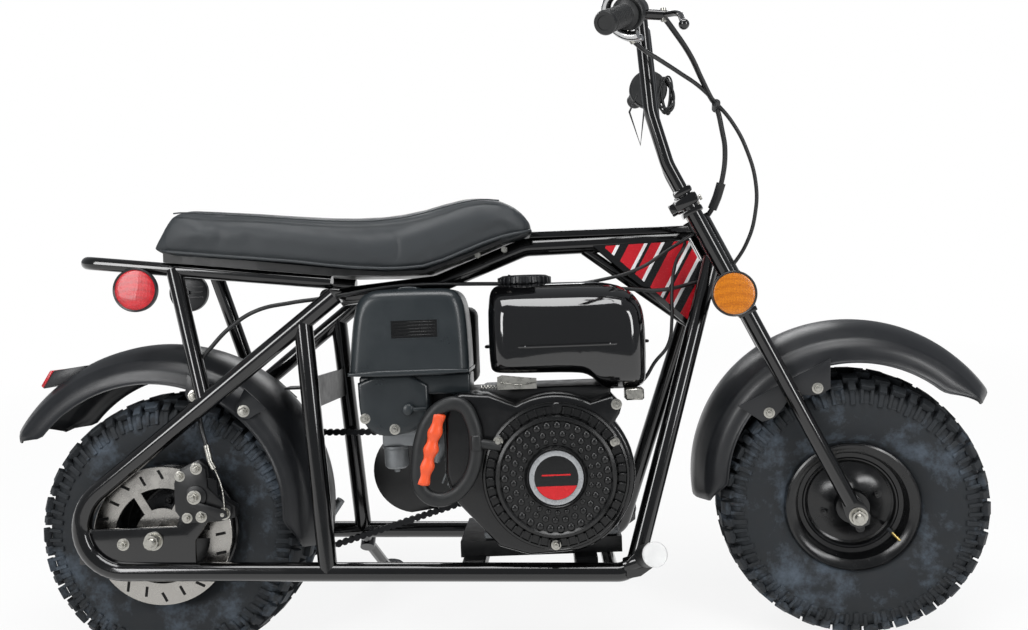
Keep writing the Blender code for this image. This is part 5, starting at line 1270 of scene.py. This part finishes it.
# The gusset's sticker is plain: slanted bands in black, red and white on both faces.
REPEAT_MM = 71.43
WEAR_MM = 14.3
stripes, tree, shader = new_material("striped_vinyl_film")
spot = node(tree, "Mapping", {"Rotation": (0, radians(-30), 0)},
            Vector=node(tree, "TexCoord").outputs["Object"])
along = node(tree, "SeparateXYZ", None, Vector=spot.outputs[0])
share = node(tree, "Math", {"operation": "FRACT"},
             i0=node(tree, "Math", {"operation": "MULTIPLY", 1: 1 / (REPEAT_MM * MM)},
                     i0=along.outputs[0]).outputs[0])
bands = node(tree, "ValToRGB", None, Fac=share.outputs[0])
bands.color_ramp.interpolation = "CONSTANT"
BANDS = ((0.0, "c01c28"), (0.34, "e9e9ea"), (0.42, "101113"), (0.5, "c01c28"), (0.72, "e9e9ea"),
         (0.8, "101113"))
for i, (start, code) in enumerate(BANDS):
    stop = bands.color_ramp.elements[i] if i < 2 else bands.color_ramp.elements.new(start)
    stop.position = start
    stop.color = linear(code)
wear = node(tree, "TexNoise", {"Scale": 1 / (WEAR_MM * MM), "Detail": 3.0})
gloss = node(tree, "MapRange", {"To Min": 0.16, "To Max": 0.34}, Value=wear.outputs["Fac"])
tree.links.new(bands.outputs["Color"], shader.inputs["Base Color"])
tree.links.new(gloss.outputs[0], shader.inputs["Roughness"])
STICKER = ((0.79, 0.723), (0.948, 0.727), (0.982, 0.66), (0.972, 0.602), (0.95, 0.574))
for side, label in SIDES:
    film = slab(STICKER, side * 0.019, side * 0.0194)
    piece("gusset_film_" + label, film, stripes)


# Fork and handlebar
# Two straight legs in clamps, flattened to dropouts at the axle. The handlebar is one high tube
# a side, bent back and out to its grip.

LEG_HALF = 0.118
LEG_TOP = 0.628
LEG_RADIUS = 0.014
BAR_RADIUS = 0.012
GRIP_LENGTH = 0.088
DROPOUT = (
    # up the fork, ahead of it
    (-0.021, -0.01), (-0.021, 0.01), (-0.008, 0.019), (0.012, 0.019), (0.05, 0.011), (0.05, -0.011),
    (0.012, -0.019), (-0.008, -0.019),
)


def on_fork(up, ahead=0.0, across=0.0):
    """A place along the fork's axis, ahead of it and across it, from the front hub."""
    return STEER * up + STEER_AHEAD * ahead + Vector((0, across, 0))


def facing(direction):
    """The turn that lays a shape's Y axis along a direction."""
    return Vector((0, 1, 0)).rotation_difference(direction).to_matrix().to_4x4()


def bar_corners(side):
    """Corners of one half of the handlebar, from the leg's top to the grip's end."""
    low = on_fork(LEG_TOP + 0.0665)
    spots = (low, low + Vector((-0.026, 0, 0.092)), low + Vector((-0.045, 0, 0.346)))
    end = spots[-1] + Vector((-0.034, 0.384, -0.161))
    knee = end + Vector((0.038, -0.114, 0.042))
    return [on_fork(LEG_TOP - 0.004, 0, side * LEG_HALF), on_fork(LEG_TOP + 0.022, 0, side * LEG_HALF),
            *[Vector((p.x, side * LEG_HALF, p.z)) for p in spots],
            *[Vector((p.x, side * p.y, p.z)) for p in (knee, end)]]


def tilted_box(up, ahead, across, bevel):
    """A box on the fork's axes from its ranges along, ahead and across."""
    made = boxed((ahead[0], across[0], up[0]), (ahead[1], across[1], up[1]), bevel)
    made.transform(Matrix((STEER_AHEAD, Vector((0, 1, 0)), STEER)).transposed().to_4x4())
    return made


def fork_bolt(up, ahead, across, radius, length):
    """A cap screw through a clamp, along the fork's ahead direction."""
    made = turned(((0, 0), (radius * 0.8, 0), (radius, length * 0.12), (radius, length), (0, length)), 16)
    made.transform(Matrix.Translation(on_fork(up, ahead, across)) @ facing(STEER_AHEAD))
    return made


for side, label in SIDES:
    across = side * LEG_HALF
    leg = swept([on_fork(0.026, 0, across), on_fork(LEG_TOP, 0, across)], LEG_RADIUS, 10)
    flat = slab([on_fork(u, a).xz for u, a in DROPOUT], across - 0.003, across + 0.003, 0.001)
    stay = swept([on_fork(0.035, 0, across), on_fork(0.035, 0, side * 0.0955)], 0.008, 6)
    piece("fork_tube_" + label, together(leg, flat, stay), frame_enamel, "steering", FORK,
          "fork_leg_" + label)
    clamp = [tilted_box((0.612, 0.632), (-0.024, 0.019), (across - 0.019, across + 0.019), 0.004),
             tilted_box((0.614, 0.63), (-0.034, -0.022), (across - 0.014, across - 0.003), 0.002),
             tilted_box((0.614, 0.63), (-0.034, -0.022), (across + 0.003, across + 0.014), 0.002),
             tilted_box((0.634, 0.646), (-0.017, 0.017), (across - 0.016, across + 0.016), 0.004)]
    piece("bar_clamp_" + label, together(*clamp), frame_enamel, "steering", FORK)
    bolts = [fork_bolt(0.617, 0.0205, across + shift, 0.0046, 0.004) for shift in (-0.009, 0.009)]
    piece("bar_clamp_bolts_" + label, together(*bolts), zinc_plate, "steering", FORK)
    corners = bar_corners(side)
    outward = (corners[-1] - corners[-2]).normalized()
    path = bent([*corners[:-1], corners[-1] - outward * 0.004], (0.04, 0.1, 0.1, 0.05, 0.09))
    piece("bar_tube_" + label, swept(path, BAR_RADIUS, 8), frame_enamel, "steering", FORK,
          "handlebar_" + label)

CROWN = ((-0.017, -0.136), (-0.021, -0.04), (-0.021, 0.04), (-0.017, 0.136), (0.017, 0.136), (0.021, 0.04),
         (0.021, -0.04), (0.017, -0.136))
for name, height in (("lower_crown", 0.4), ("upper_crown", 0.598)):
    made = bmesh.new()
    face = made.faces.new([made.verts.new(on_fork(height, a, y)) for a, y in CROWN])
    grown = bmesh.ops.extrude_face_region(made, geom=[face])
    bmesh.ops.translate(made, vec=STEER * 0.009,
                        verts=[v for v in grown["geom"] if isinstance(v, bmesh.types.BMVert)])
    bmesh.ops.recalc_face_normals(made, faces=made.faces)
    eased(made, 0.0014, sharp(made), 2)
    piece(name + "_plate", made, frame_enamel, "steering", FORK, name)

# An extruded sheath has a dull shine, and the alloy is buffed nearly to a mirror.
cable_rubber = finish("black_cable_sheath", ("0e0f10", "191a1b"), 11.1, (0.32, 0.46), 0.1,
                      0.3)
polished_alloy = finish("polished_alloy", ("b4b5b6", "d6d6d5"), 14.3, (0.12, 0.24), 0.08, 0.4,
                        metal=1.0)

# Ribbed rubber grips. The right one turns in a dark drum with a polished rim round its rear half.
RIB_PITCH = 0.0065
for side, label in SIDES:
    corners = bar_corners(side)
    outward = (corners[-1] - corners[-2]).normalized()
    at_grip = FORK @ Matrix.Translation(corners[-1] - outward * GRIP_LENGTH) @ facing(outward)
    profile = [(0.012, 0.0), (0.0215, 0.0), (0.022, 0.0035), (0.0175, 0.006)]
    for i in range(10):
        start = 0.009 + i * RIB_PITCH
        profile += [(0.0152, start), (0.0168, start + 0.0012), (0.0168, start + 0.0042),
                    (0.0152, start + 0.0054)]
    profile += [(0.0172, GRIP_LENGTH - 0.0085), (0.0178, GRIP_LENGTH - 0.004), (0.016, GRIP_LENGTH),
                (0.0105, GRIP_LENGTH), (0.01, GRIP_LENGTH - 0.0015), (0.0, GRIP_LENGTH - 0.0015)]
    piece("grip_rubber_" + label, turned(profile, 40), soft_black, "steering", at_grip, "grip_" + label,
          crease=50)

outward = (bar_corners(-1)[-1] - bar_corners(-1)[-2]).normalized()
align = facing(outward)
at_throttle = FORK @ Matrix.Translation(bar_corners(-1)[-1] - outward * (GRIP_LENGTH + 0.004)) @ align
to_local = (BIKE.inverted() @ at_throttle).to_3x3().inverted()
backward, upward = to_local @ Vector((-1, 0, 0)), to_local @ Vector((0, 0, 1))
for axis in (backward, upward):
    axis.y = 0
    axis.normalize()
half_rings = []
for radius, inboard, thick in ((0.039, -0.012, 0.0052), (0.033, -0.002, 0.0075)):
    arc = [(backward * cos(radians(a)) + upward * sin(radians(a))) * radius for a in range(-112, 93, 6)]
    half_rings.append(swept([p + Vector((0, inboard, 0)) for p in arc], thick, 6))
piece("throttle_housing", together(*half_rings), polished_alloy, "steering", at_throttle)
inside = turned(((0.0128, -0.018), (0.024, -0.018), (0.0256, -0.016), (0.0256, -0.004), (0.024, -0.002),
                 (0.0128, -0.002)), 48, closed=True)
piece("throttle_seams", inside, soft_black, "steering", at_throttle)
ferrule = swept([(0.82, -0.29, 1.035), (0.833, -0.279, 1.02)], 0.0058, 6)
piece("throttle_ferrule", ferrule, zinc_plate, "steering")

# The brake lever: a clamp and perch inboard of the throttle, a blade and a ball at its end.
ring = hoop(0.0122, 0.0185, -0.052, -0.034, 32)
ring.transform(BIKE.inverted() @ at_throttle)
LEVER_PIVOT, LEVER_BALL = Vector((0.882, -0.268, 1.064)), Vector((0.8998, -0.35, 1.0221))
perch = swept([(0.848, -0.264, 1.068), LEVER_PIVOT + Vector((0.006, 0, -0.001))], 0.008, 6)
blade = swept(bent((LEVER_PIVOT, LEVER_PIVOT + Vector((0.02, -0.034, -0.008)), LEVER_BALL), (0.05,)),
              0.0048, 6)
ball = bmesh.new()
bmesh.ops.create_icosphere(ball, subdivisions=3, radius=0.008, matrix=Matrix.Translation(LEVER_BALL))
piece("brake_lever", together(ring, perch, blade, ball), frame_enamel, "steering", stands_for="lever_right")
pin = swept([LEVER_PIVOT + Vector((0, 0, 0.01)), LEVER_PIVOT - Vector((0, 0, 0.01))], 0.0046, 6)
adjuster = swept([(0.87, -0.26, 1.07), (0.878, -0.244, 1.076)], 0.0046, 5)
piece("lever_pin_and_adjuster", together(pin, adjuster), zinc_plate, "steering")

# Stop switch on the left: a round housing, its lanyard's coiled loops and a hanging loop of cord.
DISC_AT = Vector((0.92, 0.27, 1.079))
body = turned(((0, -0.009), (0.038, -0.009), (0.041, -0.006), (0.041, 0.006), (0.038, 0.009), (0, 0.009)),
              48, DISC_AT)
button = turned(((0, -0.016), (0.012, -0.016), (0.013, -0.014), (0.013, -0.008), (0, -0.008)), 32, DISC_AT)
coil = []
for i in range(193):
    turn = 2 * pi * i / 24
    coil.append(Vector((0.958 + (0.013 + 0.005 * sin(turn * 0.37)) * cos(turn), 0.256 + i * 0.0001,
                        1.07 + 0.034 * sin(turn + 0.4 * sin(turn * 0.61)) - i * 0.00006)))
loops = swept(coil, 0.0021, 3)
tail = swept([(0.896, 0.262, 1.07), (0.8767, 0.262, 1.0306), (0.8981, 0.262, 0.9579),
              (0.9098, 0.262, 1.0402), (0.91, 0.262, 1.06)], 0.0022, 4)
piece("stop_switch", together(body, button, loops, tail), soft_black, "steering",
      stands_for="switch_housing")


# Chain drive
# A number 40 chain of 12.7 mm pitch runs from the clutch sprocket to the large rear sprocket.
# Its links are pressed plates round rollers, oiled black; the rear sprocket is laser-cut plate.

# Old oil leaves the steel nearly black, with grey where the plates rub.
chain_steel = finish("oiled_chain_steel", ("17181a", "2c2d2f"), 9.09, (0.26, 0.42), 0.1,
                     0.3, metal=0.7)

CHAIN_PITCH = 0.0127
CHAIN_Y = 0.1
LINK_END = 0.0066
LINK_WAIST = 0.0034
ROLLER_RADIUS = 0.004
BIG_PITCH_RADIUS = 0.148
SMALL_PITCH_RADIUS = 0.04
rear, fore = Vector((0.0, 0.0, WHEEL_RADIUS)), Vector((CRANK[0], 0.0, CRANK[1]))
reach = fore - rear
tilt = math.atan2(reach.z, reach.x)
spread = math.asin((BIG_PITCH_RADIUS - SMALL_PITCH_RADIUS) / reach.length)


def chain_line():
    """The chain's closed path in steps of one pitch, round both sprockets."""
    path = []
    up, down = tilt + pi / 2 - spread, tilt - pi / 2 + spread
    for centre, radius, start, end in ((rear, BIG_PITCH_RADIUS, up, down + 2 * pi),
                                       (fore, SMALL_PITCH_RADIUS, down, up)):
        path += [centre + Vector((cos(start + (end - start) * i / 60), 0,
                                  sin(start + (end - start) * i / 60))) * radius for i in range(61)]
    path.append(path[0])
    lengths = [(b - a).length for a, b in zip(path, path[1:])]
    count = 2 * round(sum(lengths) / CHAIN_PITCH / 2)
    pitch = sum(lengths) / count
    spots, done, i = [], 0.0, 0
    for k in range(count):
        while done + lengths[i] < k * pitch:
            done += lengths[i]
            i += 1
        spots.append(path[i].lerp(path[i + 1], (k * pitch - done) / lengths[i]))
    return spots


spots = chain_line()
links = []
for k, spot in enumerate(spots):
    after = spots[(k + 1) % len(spots)]
    turn = Matrix.Rotation(-math.atan2(after.z - spot.z, after.x - spot.x), 4, "Y")
    outline = []
    for side in (1, -1):
        outline += [(CHAIN_PITCH / 2 + side * (CHAIN_PITCH / 2 + LINK_END * cos(a)),
                     LINK_END * sin(a) * side) for a in (-1.9, -1.2, -0.5, 0.0, 0.5, 1.2, 1.9)]
        outline.append((CHAIN_PITCH / 2, side * LINK_WAIST))
    gap = 0.0047 if k % 2 else 0.0033
    made = together(*[slab(outline, y - 0.0006, y + 0.0006) for y in (-gap, gap)])
    bmesh.ops.create_cone(made, cap_ends=True, segments=10, radius1=ROLLER_RADIUS, radius2=ROLLER_RADIUS,
                          depth=0.0054, matrix=QUARTER)
    made.transform(Matrix.Translation(spot + Vector((0, CHAIN_Y, 0))) @ turn)
    links.append(made)
piece("chain_links", together(*links), chain_steel, stands_for="chain")

TEETH = 73
SPROCKET_HALF = 0.0022
ring = hoop(0.104, 0.1415, SPROCKET_HALF, -SPROCKET_HALF, 96, (0, CHAIN_Y, 0))
teeth = bmesh.new()
tooth = Matrix.Translation((0.144, CHAIN_Y, 0)) @ Matrix.Rotation(pi / 2, 4, "Y")
tooth = tooth @ Matrix.Rotation(pi / 4, 4, "Z") @ Matrix.Diagonal((1, 0.62, 1, 1))
for i in range(TEETH):
    bmesh.ops.create_cone(teeth, cap_ends=True, segments=4, radius1=0.0046, radius2=0.0016, depth=0.0075,
                          matrix=spun(i / TEETH) @ tooth)
arms = bmesh.new()
for i in range(5):
    spin = spun(i / 5)
    bmesh.ops.create_cube(arms, size=1.0, matrix=spin @ Matrix.Translation((0.08, CHAIN_Y, 0))
                          @ Matrix.Diagonal((0.066, 2 * SPROCKET_HALF, 0.022, 1)))
hub = hoop(0.014, 0.056, CHAIN_Y - SPROCKET_HALF, CHAIN_Y + SPROCKET_HALF)
barrel = hoop(0.0305, 0.045, 0.063, 0.098, 40)
piece("rear_sprocket_plate", together(ring, teeth, arms, hub, barrel), chain_steel, "rear_wheel",
      WHEEL_AT["rear"], "rear_sprocket")
spots = [around((0, 0), 0.036, 72 * i) for i in range(5)]
face = CHAIN_Y + SPROCKET_HALF
bolts = [hexagon(0.007, face, face + 0.005, (x, 0, z)) for x, z in spots]
piece("rear_sprocket_bolts", together(*bolts), zinc_plate, "rear_wheel", WHEEL_AT["rear"])

drum = turned(((0, 0.0705), (0.0295, 0.0705), (0.0295, 0.1045), (0.048, 0.1045), (0.05, 0.105),
               (0.05, 0.106), (0.02, 0.106), (0.019, 0.105), (0, 0.105)), 56, HUB)
piece("clutch_drum", drum, chain_steel, stands_for="clutch")
nose = hoop(0, 0.011, 0.106, 0.11, 6, HUB)
piece("clutch_nut", nose, zinc_plate)

# The guard is one flat steel cover outside the chain, with a raised middle and three screws.
GUARD_ENDS = (((0.411, 0.3), 0.085, 96.0, 262.0), ((0.688, 0.33), 0.076, -80.0, 88.0))
outline = []
for centre, radius, start, end in GUARD_ENDS:
    outline += arc_points(centre, radius, start, end, 22)
middle_x = sum(x for x, _ in outline) / len(outline)
middle_z = sum(z for _, z in outline) / len(outline)
inner = [(middle_x + (x - middle_x) * 0.955, middle_z + (z - middle_z) * 0.9) for x, z in outline]
piece("chain_guard_cover",
      together(slab(outline, 0.1065, 0.1085, 0.0006), slab(inner, 0.1085, 0.111, 0.0014)), shadow_paint,
      stands_for="chain_guard")
screws = [screw(x, z, 0.111, 1, 0.0055) for x, z in ((0.36, 0.308), (0.56, 0.352), (0.72, 0.33))]
piece("chain_guard_screws", together(*screws), zinc_plate)


# Muffler
# A black heat-proof box behind the tank, with pressed louvres on its left face and a short
# outlet pipe at its rear.

# Heat-proof paint dries chalky and has browned a little.
heat_paint = finish("black_heat_paint", ("101010", "1f1d1b"), 22.7, (0.5, 0.68), 0.2, 0.5)
body = boxed((0.35, -0.01, 0.4745), (0.548, 0.086, 0.62), 0.018, 4)
louvres = [boxed((0.372 + i * 0.024, 0.0845, 0.5), (0.386 + i * 0.024, 0.09, 0.596), 0.0022)
           for i in range(7)]
pipe = swept([(0.352, 0.045, 0.505), (0.334, 0.045, 0.5), (0.326, 0.045, 0.492)], 0.0105, 8)
piece("muffler_box", together(body, *louvres, pipe), heat_paint, stands_for="muffler")


# Brake calliper
# Black cast halves bolted to the axle plate, a lever arm that the cable pulls, and bright bolts.
# Its outer face is a thinner plate of the same outline.

CALLIPER = ((0.036, 0.29), (0.036, 0.34), (0.046, 0.362), (0.078, 0.376), (0.094, 0.364), (0.096, 0.33),
            (0.124, 0.302), (0.138, 0.294), (0.138, 0.274), (0.11, 0.268), (0.052, 0.266))
CALLIPER_BOLTS = ((0.078, 0.362, 0.0068), (0.05, 0.35, 0.006), (0.076, 0.315, 0.008), (0.06, 0.279, 0.006),
                  (0.084, 0.28, 0.0065), (0.123, 0.284, 0.007))
body = slab(CALLIPER, -0.1415, -0.1206, 0.003)
face = slab([(0.085 + (x - 0.085) * 0.93, 0.318 + (z - 0.318) * 0.93) for x, z in CALLIPER], -0.1525,
            -0.1485, 0.0012)
boss = turned(((0, -0.152), (0.019, -0.152), (0.0185, -0.156), (0.013, -0.158), (0, -0.158)), 40,
              (0.076, 0, 0.315))
arm = slab(((0.07, 0.303), (0.083, 0.306), (0.129, 0.29), (0.131, 0.279), (0.118, 0.275), (0.07, 0.3)),
           -0.1605, -0.1575, 0.0008)
piece("calliper_body", together(body, face, boss, arm), shadow_paint, stands_for="brake_caliper")
bolts = [screw(x, z, -0.152 if i != 2 else -0.16, -1, r) for i, (x, z, r) in enumerate(CALLIPER_BOLTS)]
bolts.append(screw(-0.052, 0.237, -0.148, -1, 0.007))
piece("calliper_bolts", together(*bolts), zinc_plate)


# Pegs, stand and seat fittings
# Steel pegs in black sleeves with bright end plugs, the stand's tube and pad, the seat's thin
# steel pan and two bolts, and a grey bar that steadies the engine's rear.

# Turned aluminium, blasted to a pale satin face.
bright_plug = finish("satin_aluminium", ("dcdcdb", "f2f2f1"), 16.7, (0.3, 0.42), 0.08, 0.4,
                     metal=0.25)
for side, label in SIDES:
    inner, outer = Vector((0.832, side * 0.166, 0.19)), Vector((0.838, side * 0.262, 0.219))
    along = (outer - inner).normalized()
    turn = facing(along)
    length = (outer - inner).length
    sleeve = [(0, 0), (0.015, 0.0)] + [(0.0182 if i % 2 else 0.0192, length * 0.08 + length * 0.055 * i)
                                       for i in range(16)]
    sleeve += [(0.0196, length - 0.004), (0, length - 0.004)]
    made = turned(sleeve, 40)
    made.transform(Matrix.Translation(inner) @ turn)
    piece("peg_sleeve_" + label, made, soft_black, stands_for="foot_peg_" + label)
    plug = turned(((0, length - 0.004), (0.0196, length - 0.004), (0.0199, length - 0.002),
                   (0.0199, length + 0.0012), (0.0185, length + 0.003), (0.0, length + 0.0034)), 48)
    plug.transform(Matrix.Translation(inner) @ turn)
    piece("peg_plug_" + label, plug, bright_plug)
    saddle = [swept([(0.8, side * 0.154, 0.172), (0.834, side * 0.164, 0.185),
                     (0.834, side * 0.174, 0.188)], 0.013, 8),
              slab(((0.8, 0.152), (0.824, 0.156), (0.848, 0.172), (0.85, 0.2), (0.826, 0.206),
                    (0.8, 0.182)), side * 0.1615, side * 0.167, 0.0015)]
    piece("peg_saddle_" + label, together(*saddle), frame_enamel)

coat(frame_enamel, "side_stand")
coat(shadow_paint, "seat_pan", "cross_plate", "engine_deck")
rod_bolts = [hexagon(0.0062, -0.01, -0.002, (x, -0.06, z)) for x, z in ((0.562, 0.712), (0.61, 0.72))]
piece("seat_bolts", together(*rod_bolts), zinc_plate)
bar = swept([(0.223, 0.06, 0.19), (0.27, 0.06, 0.256)], 0.008, 6)
piece("engine_stay", bar, cast_aluminium)


# Cables
# Black sheathed cables, fastened at both ends. Two leave the handlebar and bend with the
# steering; the throttle line and the brake line follow the frame.

FIXED_CABLES = (
    # name, radius, points
    ("throttle_drop", 0.0032, (
        (0.9402, -0.02, 0.7286), (0.9386, -0.032, 0.7179), (0.9209, -0.04, 0.6876),
        (0.911, -0.045, 0.6367), (0.9085, -0.05, 0.5859), (0.8987, -0.055, 0.5375),
        (0.8735, -0.06, 0.508), (0.85, -0.062, 0.476), (0.82, -0.062, 0.46))),
    ("throttle_line", 0.0032, (
        (0.955, -0.03, 0.738), (0.949, -0.035, 0.7344), (0.9069, -0.042, 0.7099),
        (0.8544, -0.045, 0.6789), (0.7809, -0.045, 0.6597), (0.7079, -0.045, 0.6533),
        (0.6498, -0.045, 0.6573), (0.6137, -0.04, 0.6734))),
    ("brake_line", 0.0036, (
        (0.9849, -0.02, 0.656), (0.9458, -0.035, 0.6466), (0.8892, -0.045, 0.6375),
        (0.8343, -0.05, 0.6413), (0.762, -0.05, 0.6476), (0.6987, -0.05, 0.6535), (0.544, -0.05, 0.6613),
        (0.4231, -0.09, 0.6611), (0.2966, -0.112, 0.644), (0.2369, -0.118, 0.6376),
        (0.1844, -0.125, 0.6274), (0.1382, -0.12, 0.6029), (0.1014, -0.118, 0.5693),
        (0.0785, -0.116, 0.5403), (0.072, -0.118, 0.4831), (0.0801, -0.13, 0.432),
        (0.094, -0.145, 0.3981))),
)
for name, radius, points in FIXED_CABLES:
    piece(name, swept(points, radius, 5, smooth_steps=12), cable_rubber, crease=180)

# The brake line ends in a bright barrel, and its bare wire pulls the calliper's arm.
barrel = swept([(0.094, -0.145, 0.4), (0.101, -0.148, 0.372), (0.1085, -0.15, 0.36)], 0.005, 6)
wire = swept([(0.105, -0.149, 0.368), (0.12, -0.153, 0.33), (0.126, -0.157, 0.286)], 0.0012, 4,
             smooth_steps=8)
piece("brake_wire", together(barrel, wire), zinc_plate)

BENT_CABLES = (
    # name, radius, points from the handlebar down to the frame
    ("front_cable", 0.0036, (
        (0.8265, -0.285, 1.0245), (0.8437, -0.265, 1.0159), (0.8819, -0.21, 1.0096),
        (0.9217, -0.16, 1.0003), (0.9637, -0.11, 0.9878), (0.9986, -0.07, 0.9679),
        (1.0303, -0.05, 0.937), (1.0562, -0.04, 0.8907), (1.0744, -0.03, 0.8239),
        (1.0724, -0.022, 0.7697), (1.0594, -0.015, 0.7246), (1.0349, -0.01, 0.6849),
        (1.0086, -0.015, 0.66), (0.9849, -0.02, 0.656))),
    ("upper_cable", 0.0046, (
        (0.8806, -0.24, 1.0779), (0.9018, -0.22, 1.0579), (0.938, -0.17, 1.0273),
        (0.9658, -0.12, 0.9973), (0.988, -0.08, 0.9749), (1.0, -0.062, 0.9643), (1.0116, -0.05, 0.9231),
        (1.0178, -0.04, 0.8884), (1.0128, -0.028, 0.8356), (0.9989, -0.015, 0.7917),
        (0.9782, 0.0, 0.7624), (0.955, 0.0, 0.745), (0.9402, -0.02, 0.7286))),
)
for name, radius, points in BENT_CABLES:
    hose = piece(name, swept(points, radius, 5, smooth_steps=12), cable_rubber, None, crease=180)
    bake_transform(hose)
sheath = swept([(1.0115, -0.026, 0.83), (1.004, -0.02, 0.805), (0.996, -0.012, 0.785)], 0.0085, 6)
tie = swept([(0.998, -0.075, 0.967), (1.002, -0.05, 0.962)], 0.0075, 6)
boot = piece("cable_boot", sheath, soft_black, None)
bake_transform(boot)
piece("cable_tie", tie, soft_black, "steering")
